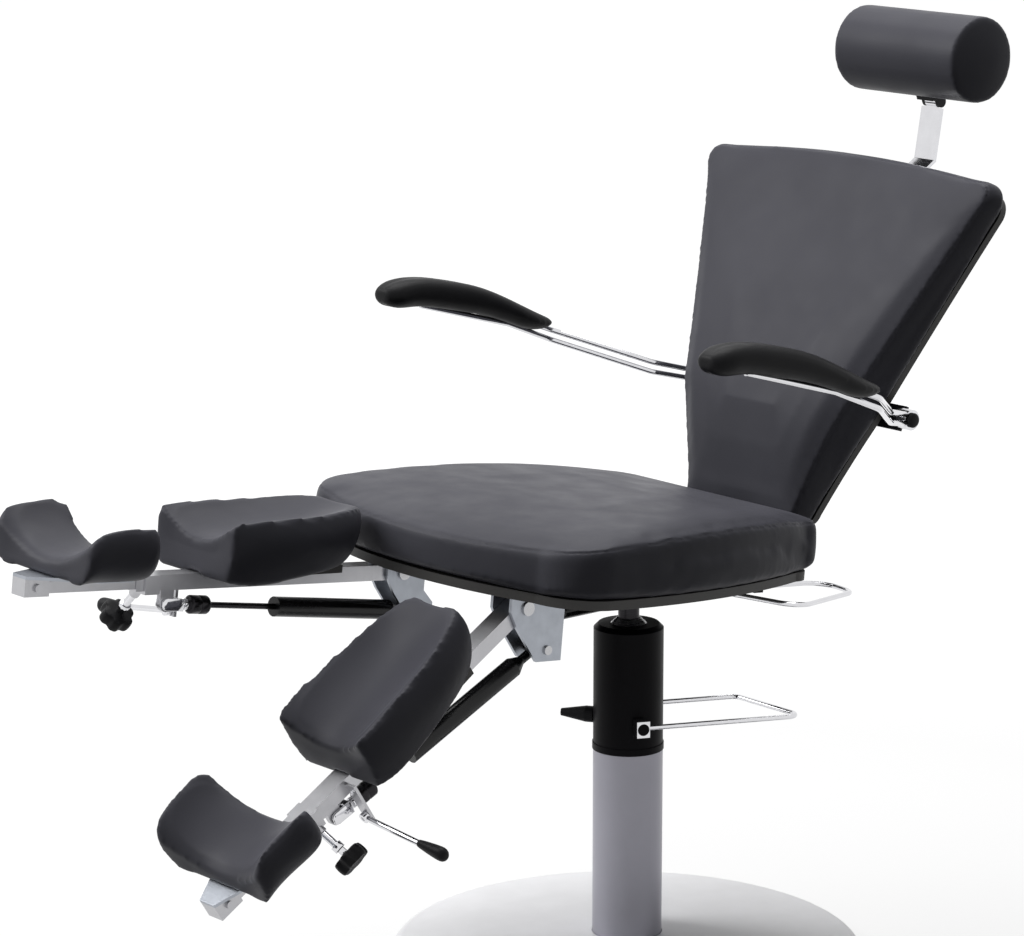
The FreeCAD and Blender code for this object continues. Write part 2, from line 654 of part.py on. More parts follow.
lug = seat_frame.inverse().multVec(Vector(0, -S.back_spring_y, S.back_spring_z))
LUG_Y = f"({lug.y:.3f})"
LUG_Z = f"({lug.z:.3f})"
spring_lug = new_body()
bridge = [(f"{LUG_Y} - 2 * eye_radius", RAIL_LOW), (f"{LUG_Y} + 2 * eye_radius", RAIL_LOW),
          (f"{LUG_Y} + 2 * eye_radius", RAIL_LOW + " + web_thick"),
          (f"{LUG_Y} - 2 * eye_radius", RAIL_LOW + " + web_thick")]
pad(spring_lug, outline_sketch(spring_lug, "YZ_Plane", bridge), "2 * rail_spread - rail_width")
for sign in ("-", "+"):
    pad(spring_lug, outline_sketch(spring_lug, "YZ_Plane", [
        (f"{LUG_Y} - 2 * eye_radius", RAIL_LOW), (f"{LUG_Y} - eye_radius", f"{LUG_Z} - eye_radius"),
        (f"{LUG_Y} + eye_radius", f"{LUG_Z} - eye_radius"),
        (f"{LUG_Y} + 2 * eye_radius", RAIL_LOW)],
        f"-lever_x {sign} (eye_radius + ear_gap + ear_thick / 2)"), "ear_thick")
drill(spring_lug, circle_sketch(spring_lug, "YZ_Plane", [(LUG_Y, LUG_Z)], "spring_pin"),
      "4 * rail_spread")
keep(fuse([frame_tubes, ears, spring_lug]), "seat_frame", seat_frame)

seat_points = [
    (-S.seat_front_half, -S.seat_front_side), (0, -S.seat_front),
    (S.seat_front_half, -S.seat_front_side), (S.seat_corner_x, -S.seat_corner_y),
    (S.seat_half, -S.seat_side_y), (S.seat_waist_x, -S.seat_waist_y),
    (S.seat_rear_half, S.seat_rear_side), (S.seat_rear_corner_x, S.seat_rear_corner_y),
    (S.seat_rear_flat, S.seat_rear), (-S.seat_rear_flat, S.seat_rear),
    (-S.seat_rear_corner_x, S.seat_rear_corner_y), (-S.seat_rear_half, S.seat_rear_side),
    (-S.seat_waist_x, -S.seat_waist_y), (-S.seat_half, -S.seat_side_y),
    (-S.seat_corner_x, -S.seat_corner_y)]
seat_centre = (0, (S.seat_rear - S.seat_front) / 2)
seat_depth = (S.seat_rear + S.seat_front) / 2
board_outline = scaled_outline(seat_points, seat_centre, S.board_inset, S.seat_half, seat_depth)
board_wire = arcs_wire(with_kinds(SEAT_KINDS, board_outline),
                       lambda x, y: Vector(x, y, -S.board_thick))
feature(Part.Face(board_wire).extrude(Vector(0, 0, S.board_thick)), "seat_board", seat_frame)



def seat_lift(x, y, height):
    """A point of the seat pad, whose top falls away to both sides of its apex."""
    share = (y + S.pad_apex) / (S.seat_front - S.pad_apex)
    return Vector(x, y, height * (1 - share ** 2 * S.pad_fall / S.pad_thick))


feature(drawn_loft(SEAT_KINDS, seat_points, seat_centre, S.seat_half, seat_depth,
                   cushion_layers(S.pad_thick, S.pad_crown, S.pad_tuck, S.pad_draw, seat_depth),
                   seat_lift), "seat_pad", seat_frame)

HALF_PIN = "(tube_half_width + cheek_gap + cheek_thick + pin_head_thick)"


def headed_pin(radius, head, half, place, y, z):
    """A pin along X with a thin head at each end."""
    low = f"{place} - {half}"
    return fuse([cylinder(radius, f"2 * {half}", (low, y, z), "x"),
                 cylinder(head, "pin_head_thick", (low, y, z), "x"),
                 cylinder(head, "pin_head_thick",
                          (f"{place} + {half} - pin_head_thick", y, z), "x")])


NOSE = "-hinge_front - cheek_nose"
WAIST = "-hinge_front + cheek_waist"
CHEEK_LOW = "-hinge_drop - cheek_depth"
CHEEK_FRONT = [(NOSE, "-board_thick"), (NOSE, "-hinge_drop - web_thick"),
               ("-hinge_front - cheek_chin", "-hinge_drop - cheek_throat"), (WAIST, CHEEK_LOW)]
SPRING_Y = "-hinge_front + spring_back"
SPRING_Z = "-hinge_drop - spring_drop"
pins = []
for name, (sign, _, _) in SIDES.items():
    bracket = new_body()
    reach = "(tube_half_width + cheek_gap + cheek_thick / 2)"
    pad(bracket, outline_sketch(bracket, "YZ_Plane", CHEEK_FRONT + [
        ("-hinge_front + cheek_tail", CHEEK_LOW), ("-hinge_front + cheek_tail", "-board_thick")],
        f"{sign} * (leg_spread + {reach})"), "cheek_thick")
    pad(bracket, outline_sketch(bracket, "YZ_Plane", CHEEK_FRONT + [
        (SPRING_Y + " + cheek_short", CHEEK_LOW),
        (SPRING_Y + " + cheek_short", SPRING_Z + " + cheek_short"),
        ("-rail_front", "-hinge_drop - cheek_throat"), ("-rail_front", "-board_thick")],
        f"{sign} * (leg_spread - {reach})"), "cheek_thick")
    pad(bracket, outline_sketch(bracket, "YZ_Plane", [
        (NOSE, "-board_thick - web_thick"), ("-rail_front", "-board_thick - web_thick"),
        ("-rail_front", "-board_thick"), (NOSE, "-board_thick")], f"{sign} * leg_spread"),
        "2 * (tube_half_width + cheek_gap + cheek_thick)")
    drill(bracket, circle_sketch(bracket, "YZ_Plane", [("-hinge_front", "-hinge_drop")],
                                 "pin_radius"), "4 * leg_spread")
    drill(bracket, circle_sketch(bracket, "YZ_Plane", [(SPRING_Y, SPRING_Z)], "spring_pin"),
          "4 * leg_spread")
    keep(bracket, f"leg_bracket_{name}", seat_frame)
    spot = f"{sign} * leg_spread"
    pins.append(headed_pin("pin_radius", "pin_head", HALF_PIN, spot, "-hinge_front",
                           "-hinge_drop"))
    pins.append(headed_pin("spring_pin", "spring_pin + web_thick / 2", HALF_PIN, spot, SPRING_Y,
                           SPRING_Z))
pins.append(headed_pin("pin_radius", "pin_head", f"({EAR_OUTER} + pin_head_thick)", "0",
                       "recline_rear", "recline_rise"))
pins.append(headed_pin("spring_pin", "spring_pin + web_thick / 2",
                       "(eye_radius + ear_gap + ear_thick + pin_head_thick)", "-lever_x",
                       LUG_Y, LUG_Z))
keep(group(pins), "pivot_pins", seat_frame)

# Release loop for the back, with its two bearings under the seat
handle_points = [Vector(S.handle_x, S.handle_rear, -S.handle_drop),
                 Vector(S.handle_out_rear, S.handle_rear - S.handle_bend / 2, -S.handle_drop),
                 Vector(S.handle_out_front, S.handle_out_y, -S.handle_drop),
                 Vector(S.handle_x, S.handle_front, -S.handle_drop)]
feature(bent_wire(handle_points, S.handle_wire, S.handle_bend, True), "release_handle", seat_frame)
bearings = []
for spot in ("bearing_low", "bearing_high"):
    width = "(handle_x + bearing_size / 2 - rail_spread - rail_width / 2)"
    block = box(width, "bearing_length", "handle_drop + bearing_size / 2 - board_thick",
                (f"rail_spread + rail_width / 2 + {width} / 2", spot,
                 "-handle_drop - bearing_size / 2"))
    bore = cylinder("handle_wire + bearing_gap", "4 * bearing_length",
                    ("handle_x", f"{spot} - bearing_length", "-handle_drop"), "y")
    bearings.append(cut(block, [bore]))
keep(group(bearings), "release_bearings", seat_frame)

# Back
back_points = [
    (-S.back_bottom_half, S.back_foot), (S.back_bottom_half, S.back_foot),
    (S.back_foot_x, S.back_foot_y), (S.back_foot_side, S.back_foot_rise),
    (S.back_hip, S.back_hip_rise), (S.back_waist, S.back_waist_rise),
    (S.back_rib, S.back_rib_rise), (S.back_half, S.back_shoulder_rise),
    (S.back_corner_x, S.back_corner_rise), (S.back_top_half, S.back_top_rise),
    (0, S.back_arch), (-S.back_top_half, S.back_top_rise),
    (-S.back_corner_x, S.back_corner_rise), (-S.back_half, S.back_shoulder_rise),
    (-S.back_rib, S.back_rib_rise), (-S.back_waist, S.back_waist_rise),
    (-S.back_hip, S.back_hip_rise), (-S.back_foot_side, S.back_foot_rise),
    (-S.back_foot_x, S.back_foot_y)]
back_centre = (0, (S.back_foot + S.back_arch) / 2)
back_depth = (S.back_arch - S.back_foot) / 2
board_outline = scaled_outline(back_points, back_centre, S.back_board_inset, S.back_half,
                               back_depth)
board_wire = arcs_wire(with_kinds(BACK_KINDS, board_outline),
                       lambda x, rise: Vector(x, S.back_thick, rise))
feature(Part.Face(board_wire).extrude(Vector(0, S.back_board_thick, 0)), "back_board", back_frame)


def back_lift(x, rise, height):
    """A point of the back pad, which swells forward over the sitter's lumbar."""
    end = S.back_foot if rise < S.back_waist_rise else S.back_shoulder_rise
    share = min(abs(rise - S.back_waist_rise) / abs(end - S.back_waist_rise), 1)
    swell = S.back_lumbar * cos(share * pi / 2) ** 2
    return Vector(x, S.back_thick - height * (1 + swell / S.back_thick), rise)


feature(drawn_loft(BACK_KINDS, back_points, back_centre, S.back_half, back_depth,
                   cushion_layers(S.back_thick, S.back_crown, S.back_tuck, S.back_draw, back_depth),
                   back_lift), "back_pad", back_frame)

hinge = back_frame.inverse().multVec(recline_hinge)
HINGE_Y = f"({hinge.y:.3f})"
HINGE_Z = f"({hinge.z:.3f})"
REAR = "(back_thick + back_board_thick)"
spines = new_body()
for sign in ("-", ""):
    pad(spines, outline_sketch(spines, "YZ_Plane", [
        (REAR, "spine_foot"), (f"{REAR} + spine_thick", "spine_foot"),
        (f"{REAR} + spine_thick", "spine_top"), (REAR, "spine_top")],
        f"{sign}spine_spread"), "spine_width")
    pad(spines, outline_sketch(spines, "YZ_Plane", [
        (f"{HINGE_Y} - hinge_sleeve", f"{HINGE_Z}"),
        (f"{HINGE_Y} - hinge_sleeve / 2", f"{HINGE_Z} - hinge_sleeve"),
        (f"{HINGE_Y} + hinge_sleeve", f"{HINGE_Z} - hinge_sleeve / 2"),
        (f"{REAR} + spine_thick", "spine_foot"),
        (f"{REAR} + spine_thick", "brace_low"), (REAR, "brace_low"), (REAR, "spine_foot")],
        f"{sign}(sleeve_half - arm_plate / 2)"), "arm_plate")
for rise in ("brace_low", "brace_high"):
    pad(spines, outline_sketch(spines, "YZ_Plane", [
        (REAR, f"{rise} - brace_height / 2"), (f"{REAR} + spine_thick", f"{rise} - brace_height / 2"),
        (f"{REAR} + spine_thick", f"{rise} + brace_height / 2"),
        (REAR, f"{rise} + brace_height / 2")]), "2 * spine_spread")
tip = back_frame.inverse().multVec(lever_tip)
TIP_Y = f"({tip.y:.3f})"
TIP_Z = f"({tip.z:.3f})"
pad(spines, outline_sketch(spines, "YZ_Plane", [
    (f"{TIP_Y} - eye_radius", f"{TIP_Z}"), (f"{TIP_Y}", f"{TIP_Z} - eye_radius"),
    (f"{TIP_Y} + eye_radius", f"{TIP_Z}"), (f"{HINGE_Y} + hinge_sleeve", f"{HINGE_Z}"),
    (f"{HINGE_Y} - hinge_sleeve", f"{HINGE_Z}")], "-lever_x"), "2 * lever_half")
pivot = back_frame.inverse().multVec(Vector(0, S.arm_pivot_y, S.arm_pivot_z))
ARM_Y = f"({pivot.y:.3f})"
ARM_Z = f"({pivot.z:.3f})"
EAR_FAR = "(arm_ear_x + arm_ear_thick)"
for sign in ("-", ""):
    pad(spines, outline_sketch(spines, "YZ_Plane", [
        (f"{REAR} + spine_thick", f"{ARM_Z} - arm_ear_half"),
        (f"{REAR} + spine_thick + arm_ear_thick", f"{ARM_Z} - arm_ear_half"),
        (f"{REAR} + spine_thick + arm_ear_thick", f"{ARM_Z} + arm_ear_half"),
        (f"{REAR} + spine_thick", f"{ARM_Z} + arm_ear_half")],
        f"{sign}({EAR_FAR} + spine_spread) / 2"), f"{EAR_FAR} - spine_spread")
    pad(spines, outline_sketch(spines, "YZ_Plane", [
        (f"{ARM_Y} - arm_pin - arm_ear_thick", f"{ARM_Z} - arm_ear_half / 2"),
        (f"{REAR} + spine_thick + arm_ear_thick", f"{ARM_Z} - arm_ear_half"),
        (f"{REAR} + spine_thick + arm_ear_thick", f"{ARM_Z} + arm_ear_half"),
        (f"{ARM_Y} - arm_pin - arm_ear_thick", f"{ARM_Z} + arm_ear_half / 2")],
        f"{sign}({EAR_FAR} - arm_ear_thick / 2)"), "arm_ear_thick")
    pad(spines, circle_sketch(spines, "YZ_Plane", [(ARM_Y, ARM_Z)], "arm_pin",
                              f"{sign}(arm_ear_x + (arm_hub_x + arm_hub_width - arm_ear_x) / 2)"),
        "arm_hub_x + arm_hub_width - arm_ear_x")
hinge_tube = cylinder("hinge_sleeve", "2 * sleeve_half", ("-sleeve_half", HINGE_Y, HINGE_Z), "x")
hinge_bore = cylinder("pin_radius + pin_gap", "4 * sleeve_half",
                      ("-2 * sleeve_half", HINGE_Y, HINGE_Z), "x")
keep(cut(fuse([spines, hinge_tube]), [hinge_bore]), "back_frame", back_frame)

# Headrest: guide on the back, cranked bar, saddle and roll
guide_rise = "brace_high"
guide_block = box("2 * guide_half", "stem_depth + stem_thick / 2 + guide_wall - back_thick "
                  "- back_board_thick - spine_thick", "guide_height",
                  ("0", f"{REAR} + spine_thick", f"{guide_rise} - guide_height / 2"))
guide_slot = box("stem_width + 2 * guide_gap", "stem_thick + 2 * guide_gap", "2 * guide_height",
                 ("0", "stem_depth - stem_thick / 2 - guide_gap", f"{guide_rise} - guide_height"))
guide_hole = cylinder("guide_screw + pin_gap", "4 * guide_wall", ("0", "stem_depth", guide_rise),
                      "y")
keep(cut(guide_block, [guide_slot, guide_hole]), "headrest_guide", back_frame)


def star_knob(label, frame, stem):
    """A six-lobed knob on a stem that starts at its own origin."""
    body = new_body()
    sketch = outline_sketch(body, "XZ_Plane", [
        ("0", "0"), ("stem_radius", "0"), ("stem_radius", stem), ("star_hub", stem),
        ("star_hub", f"{stem} + star_thick"), ("0", f"{stem} + star_thick")])
    turn = body.newObject("PartDesign::Revolution", "Revolution")
    turn.Profile = sketch
    turn.ReferenceAxis = (sketch, ["V_Axis"])
    lobe = pad(body, circle_sketch(body, "XY_Plane", [("star_radius", "0")], "star_lobe", stem),
               "star_thick", False)
    doc.recompute()
    ring = body.newObject("PartDesign::PolarPattern", "Lobes")
    ring.Originals = [lobe]
    ring.Axis = (origin_plane(body, "Z_Axis"), [""])
    ring.Angle = 360
    ring.Occurrences = 6
    body.Tip = ring
    return keep(body, label, frame)


guide_face = S.stem_depth + S.stem_thick / 2 + S.guide_wall
star_knob("headrest_knob", back_frame.multiply(Placement(
    Vector(0, S.stem_depth + S.stem_thick / 2 + S.guide_gap, S.brace_high), TURNS["y"])),
    "guide_knob_length")


def flat_bar(points, thick, width):
    """A flat bar bent along points on the YZ plane, centred on X."""
    near = []
    far = []
    for i, spot in enumerate(points):
        before = (spot - points[i - 1]).normalize() if i else None
        after = (points[i + 1] - spot).normalize() if i + 1 < len(points) else None
        way = ((before or after) + (after or before)).normalize()
        side = Vector(0, -way.z, way.y)
        half = thick / 2 / cos((before or after).getAngle(after or before) / 2)
        near.append(spot + side * half)
        far.append(spot - side * half)
    outline = near + far[::-1]
    face = Part.Face(Part.makePolygon(outline + outline[:1]))
    face.translate(Vector(-width / 2, 0, 0))
    return face.extrude(Vector(width, 0, 0))


knuckle = back_frame.inverse().multVec(Vector(0, S.knuckle_y, S.knuckle_z))
bar_top = knuckle - Vector(0, 0, S.knuckle_radius / 2)
bar = flat_bar([Vector(0, S.stem_depth, S.stem_low), Vector(0, S.stem_depth, S.stem_crank),
                Vector(0, S.stem_out_y, S.stem_out_rise), bar_top], S.stem_thick, S.stem_width)
eye_start = knuckle - Vector(S.knuckle_half, 0, 0)
eye = Part.makeCylinder(S.knuckle_radius, 2 * S.knuckle_half, eye_start, Vector(1, 0, 0))
eye_bore = Part.makeCylinder(S.knuckle_pin + S.pin_gap, 4 * S.knuckle_half,
                             eye_start - Vector(S.knuckle_half, 0, 0), Vector(1, 0, 0))
for sign in (-1, 1):
    relief = Part.makeBox(S.stem_width, 4 * S.knuckle_radius, 2 * S.knuckle_radius + S.guide_wall)
    shift = sign * (S.knuckle_half + S.stem_width / 2) - S.stem_width / 2
    relief.translate(Vector(shift, knuckle.y - 2 * S.knuckle_radius,
                            knuckle.z - S.knuckle_radius - S.knuckle_gap * 4))
    bar = bar.cut(relief)
feature(bar.fuse(eye).cut(eye_bore), "headrest_stem", back_frame)

roll_centre = Vector(0, S.roll_y, S.roll_z)
knuckle_world = Vector(0, S.knuckle_y, S.knuckle_z)
toward = (roll_centre - knuckle_world).normalize()
saddle_turn = Rotation(Vector(0, 0, 1), toward)
saddle_frame = Placement(knuckle_world, saddle_turn)
saddle_reach = (roll_centre - knuckle_world).Length
saddle = Part.makeBox(2 * (S.knuckle_half + S.knuckle_ear + S.knuckle_gap), 2 * S.saddle_half,
                      S.saddle_half + S.knuckle_radius)
saddle.translate(Vector(-S.knuckle_half - S.knuckle_ear - S.knuckle_gap, -S.saddle_half,
                        S.knuckle_radius + S.knuckle_gap))
for sign in (-1, 1):
    start = sign * (S.knuckle_half + S.knuckle_gap + S.knuckle_ear / 2) - S.knuckle_ear / 2
    ear = Part.makeCylinder(S.knuckle_radius, S.knuckle_ear, Vector(start, 0, 0), Vector(1, 0, 0))
    web = Part.makeBox(S.knuckle_ear, 2 * S.knuckle_radius, 2 * S.knuckle_radius,
                       Vector(start, -S.knuckle_radius, 0))
    saddle = saddle.fuse([ear, web])
saddle_pin = Part.makeCylinder(S.knuckle_pin, 2 * (S.knuckle_half + S.knuckle_ear),
                               Vector(-S.knuckle_half - S.knuckle_ear, 0, 0), Vector(1, 0, 0))
roll_space = Part.makeCylinder(S.roll_radius, 4 * S.roll_half,
                               Vector(-2 * S.roll_half, 0, saddle_reach), Vector(1, 0, 0))
feature(saddle.fuse(saddle_pin).cut(roll_space), "headrest_saddle", saddle_frame)

roll_end = S.roll_half + S.roll_dome
shoulder = S.roll_radius - S.roll_edge
corner_share = 0.29
bulge_share = 0.8
roll_edges = []
for sign in (-1, 1):
    cap = Vector(sign * roll_end, 0, 0)
    brow = Vector(sign * S.roll_half, shoulder, 0)
    side = Vector(sign * (S.roll_half - S.roll_edge), S.roll_radius, 0)
    bulge = Vector(sign * (S.roll_half + S.roll_dome * bulge_share), shoulder / 2, 0)
    bend = Vector(sign * (S.roll_half - S.roll_edge * corner_share),
                  S.roll_radius - S.roll_edge * corner_share, 0)
    roll_edges += [arc(cap, bulge, brow), arc(brow, bend, side)]
roll_edges.append(line(Vector(S.roll_half - S.roll_edge, S.roll_radius, 0),
                       Vector(S.roll_edge - S.roll_half, S.roll_radius, 0)))
roll_edges.append(line(Vector(roll_end, 0, 0), Vector(-roll_end, 0, 0)))
roll_face = Part.Face(Part.Wire(Part.__sortEdges__(roll_edges)))
feature(roll_face.revolve(Vector(), Vector(1, 0, 0), 360), "headrest_roll",
        Placement(roll_centre, Rotation()))

# Armrests: share of the pad's length, half width, thickness and fall at each section
ARM_PAD_SHARES = [(0, 0.5, 0.4, 0.13), (0.035, 0.8, 0.75, 0.06), (0.15, 1, 0.95, 0),
                  (0.36, 1, 1, 0.1), (0.56, 1, 0.95, 0.29), (0.76, 0.95, 0.8, 0.6),
                  (0.93, 0.75, 0.55, 0.89), (1, 0.5, 0.25, 1)]
ROUND_KINDS = "AvAvAvAv"
round_share = 0.78
for name, (sign, _, _) in SIDES.items():
    hub_middle = sign * (S.arm_hub_x + S.arm_hub_width / 2)
    bars = []
    for drop in (0, 1):
        bars.append(bent_wire([
            Vector(sign * S.arm_x, -S.bar_front, S.bar_front_z - drop * S.bar_gap_front),
            Vector(sign * S.arm_x, S.bar_mid, S.bar_mid_z - drop * S.bar_gap_front),
            Vector(sign * S.arm_x, S.bar_rear, S.bar_rear_z - drop * S.bar_gap_rear),
            Vector(sign * S.bar_in_x, S.bar_in_y, S.bar_in_z - drop * S.bar_gap_rear),
            Vector(hub_middle, S.arm_pivot_y,
                   S.arm_pivot_z + S.bar_gap_hub / 2 - drop * S.bar_gap_hub)],
            S.arm_bar, S.arm_bend))
    arm_hub = Part.makeCylinder(S.arm_hub_radius, S.arm_hub_width,
                                Vector(hub_middle - S.arm_hub_width / 2, S.arm_pivot_y,
                                       S.arm_pivot_z), Vector(1, 0, 0))
    arm_bore = Part.makeCylinder(S.arm_pin + S.pin_gap, 2 * S.arm_hub_width,
                                 Vector(hub_middle - S.arm_hub_width, S.arm_pivot_y,
                                        S.arm_pivot_z), Vector(1, 0, 0))
    arm_bars = bars[0].fuse([bars[1], arm_hub]).cut(arm_bore)
    feature(arm_bars, f"arm_bars_{name}")
    wires = []
    for along, width, thick, fall in ARM_PAD_SHARES:
        y = -S.arm_tip + along * S.arm_pad_length
        half = width * S.arm_pad_half
        tall = thick * S.arm_pad_thick / 2
        middle = S.arm_pad_top - fall * S.arm_fall - tall
        ring = [(-half, 0), (-half * round_share, tall * round_share), (0, tall),
                (half * round_share, tall * round_share), (half, 0),
                (half * round_share, -tall * round_share), (0, -tall),
                (-half * round_share, -tall * round_share)]
        spots = with_kinds(ROUND_KINDS, ring)
        wires.append(arcs_wire(spots, lambda x, z: Vector(sign * S.arm_x + x, y, middle + z)))
    arm_pad = Part.makeLoft(wires, True, False)
    feature(arm_pad.cut(arm_bars), f"arm_pad_{name}")


# Gas springs
def spring_frame(top, end, x):
    """A frame at the spring's upper pin with its own Z along the spring."""
    rise = degrees(atan2(end.z - top.z, top.y - end.y))
    place = Placement(Vector(x, top.y, top.z), Rotation(Vector(1, 0, 0), -rise))
    return place.multiply(Placement(Vector(), TURNS["foot"]))


def gas_spring(cylinder_label, rod_label, frame, length, radius, start, end, inside, eye_half):
    """Cylinder with its eye at the frame's origin, and rod with a fork at the given length."""
    tube = turned([
        ("0", "0"), ("neck_radius", "0"), ("neck_radius", start),
        (radius, f"{start} + cylinder_cone"), (radius, end), ("spring_rod + rod_gap", end),
        ("spring_rod + rod_gap", f"{end} - spring_cap"),
        (f"{radius} - spring_wall", f"{end} - spring_cap"),
        (f"{radius} - spring_wall", f"{start} + cylinder_cone"),
        ("0", f"{start} + cylinder_cone")], cylinder_label, frame)
    pad(tube, circle_sketch(tube, "YZ_Plane", [("0", "0")], "eye_radius"), f"2 * {eye_half}")
    drill(tube, circle_sketch(tube, "YZ_Plane", [("0", "0")], "spring_pin + pin_gap"),
          f"4 * {eye_half}")
    reach = f"{length:.3f}"
    rod = turned([
        ("0", inside), (f"{radius} - spring_wall - rod_gap", inside),
        (f"{radius} - spring_wall - rod_gap", f"{inside} + piston_length"),
        ("spring_rod", f"{inside} + piston_length"),
        ("spring_rod", f"{reach} - release_end - release_length"),
        ("release_radius", f"{reach} - release_end - release_length"),
        ("release_radius", f"{reach} - release_end"), ("neck_radius", f"{reach} - release_end"),
        ("neck_radius", f"{reach} - fork_back + fork_web"),
        ("0", f"{reach} - fork_back + fork_web")], rod_label, frame)
    pad(rod, outline_sketch(rod, "YZ_Plane", [
        ("-fork_half", f"{reach} - fork_back"), ("fork_half", f"{reach} - fork_back"),
        ("fork_half", f"{reach} - fork_back + fork_web"),
        ("-fork_half", f"{reach} - fork_back + fork_web")]),
        "2 * (lug_half + ear_gap + ear_thick)")
    for sign in ("-", ""):
        pad(rod, outline_sketch(rod, "YZ_Plane", [
            ("-fork_half", f"{reach} - fork_back"), ("fork_half", f"{reach} - fork_back"),
            ("fork_half", f"{reach} + fork_half"), ("-fork_half", f"{reach} + fork_half")],
            f"{sign}(lug_half + ear_gap + ear_thick / 2)"), "ear_thick")


lug_spot = Vector(0, -S.back_spring_y, S.back_spring_z)
reach = (lever_tip - lug_spot).Length
turn_round = Placement(Vector(0, 0, reach), Rotation(Vector(1, 0, 0), 180))
gas_spring("back_spring_cylinder", "back_spring_rod",
           spring_frame(lever_tip, lug_spot, -S.lever_x).multiply(turn_round), reach,
           "back_spring_radius", "back_cylinder_start", "back_cylinder_end",
           "(back_cylinder_end - back_rod_inside)", "eye_radius")

# Leg rests: both alike, one lowered and one raised
CALF_SHARES = [(0, 0.36, 0.53, 0.45, 0.55, 1, 0.05), (0.045, 0.48, 0.66, 0.58, 0.36, 1, 0.12),
               (0.17, 0.66, 0.82, 0.74, 0.2, 0.98, 0.35), (0.45, 0.82, 0.95, 0.88, 0.1, 0.95, 0.75),
               (0.93, 0.88, 1, 0.95, 0.04, 0.92, 1), (1, 0.86, 0.98, 0.93, 0.08, 0.91, 1)]
heel_crest_share = 0.93
HEEL_SHARES = [(0, 0.93, 0.93, 0.94, 1), (0.08, 1, 1, 1, 1), (0.6, 1, 1, 1, 1),
               (0.86, 1, 0.99, 0.93, 1), (1, 0.94, 0.94, 0.72, 0.9)]
for name, (sign, angle, slide_in) in SIDES.items():
    leg_x = sign * S.leg_spread
    leg_frame = Placement(Vector(leg_x, leg_hinge.y, leg_hinge.z),
                          Rotation(Vector(1, 0, 0), angle))
    slide_frame = leg_frame.multiply(Placement(Vector(0, slide_in, 0), Rotation()))
    knob_turn = Rotation(Vector(0, 1, 0), sign * (180 - S.knob_tilt))

    solids = [
        box("2 * tube_half_width", "tube_length + tube_tail", "2 * tube_half_height",
            ("0", "-tube_length", "-tube_half_height")),
        box("2 * (tube_half_width + ear_thick)", "clamp_block", "2 * tube_half_height + ear_thick",
            ("0", "-knob_s - clamp_block / 2", "-tube_half_height - ear_thick")),
        box("2 * lug_half", "2 * lug_radius", "lug_n - tube_half_height",
            ("0", "-lug_s - lug_radius", "-lug_n")),
        cylinder("lug_radius", "2 * lug_half", ("-lug_half", "-lug_s", "-lug_n"), "x"),
        box("lever_x_root + lever_eye - tube_half_width", "lever_plate",
            "lever_n + lever_eye + tube_half_height / 2",
            (f"{sign} * (lever_x_root + lever_eye + tube_half_width) / 2",
             "-lever_s + ear_gap", "-lever_n - lever_eye"))]
    boss_way = knob_turn.multVec(Vector(0, 0, 1))
    boss_start = Vector(0, -S.knob_s, 0) + boss_way * S.boss_start
    solids.append(cylinder("boss_radius", "boss_end - boss_start",
                           Placement(boss_start, knob_turn)))
    hollow = box("2 * (tube_half_width - tube_wall)", "2 * tube_length",
                 "2 * (tube_half_height - tube_wall)",
                 ("0", "-2 * tube_length - 2 * pin_head", "-tube_half_height + tube_wall"))
    pin_bore = cylinder("pin_radius + pin_gap", "4 * tube_half_width",
                        ("-2 * tube_half_width", "0", "0"), "x")
    lever_pin = cylinder("lever_pin", "lever_plate + lever_eye",
                         (f"{sign} * lever_x_root", "-lever_s - lever_eye + ear_gap", "-lever_n"),
                         "y")
    keep(fuse([cut(fuse(solids), [hollow, pin_bore]), lever_pin]), f"leg_tube_{name}", leg_frame)

    calf_tall = S.calf_top_knee
    calf_stations = [(S.calf_start + along * S.calf_length, base * S.calf_half, side * S.calf_half,
                      crest * S.calf_half, low * calf_tall, top * calf_tall, dip * S.calf_dip)
                     for along, base, side, crest, low, top, dip in CALF_SHARES]
    board = new_body()
    knee = "(calf_start + calf_lift)"
    foot = "(calf_end - calf_board_inset)"
    knee_half = "(calf_knee_half + ear_thick)"
    foot_half = "(calf_half - 2 * calf_board_inset)"
    pad(board, outline_sketch(board, "XY_Plane", [
        (f"-{knee_half}", f"-{knee}"), (knee_half, f"-{knee}"), (foot_half, f"-{foot}"),
        (f"-{foot_half}", f"-{foot}")], "tube_half_height"), "calf_board_thick", False)
    keep(board, f"calf_board_{name}", leg_frame)
    calf = channel_loft(calf_stations)
    deep = S.tube_half_height + S.calf_board_thick
    board_space = Part.Face(Part.makePolygon([
        Vector(x, -along, -calf_tall) for x, along in [
            (-S.calf_knee_half - S.ear_thick, S.calf_start + S.calf_lift),
            (S.calf_knee_half + S.ear_thick, S.calf_start + S.calf_lift),
            (S.calf_half - 2 * S.calf_board_inset, S.calf_end - S.calf_board_inset),
            (2 * S.calf_board_inset - S.calf_half, S.calf_end - S.calf_board_inset),
            (-S.calf_knee_half - S.ear_thick, S.calf_start + S.calf_lift)]]))
    channel = Part.makeBox(2 * (S.tube_half_width + S.ear_gap), 2 * S.tube_length,
                           calf_tall + S.tube_half_height + S.ear_gap,
                           Vector(-S.tube_half_width - S.ear_gap, -2 * S.tube_length, -calf_tall))
    calf = calf.cut([board_space.extrude(Vector(0, 0, calf_tall + deep)), channel])
    feature(calf, f"calf_pad_{name}", leg_frame)

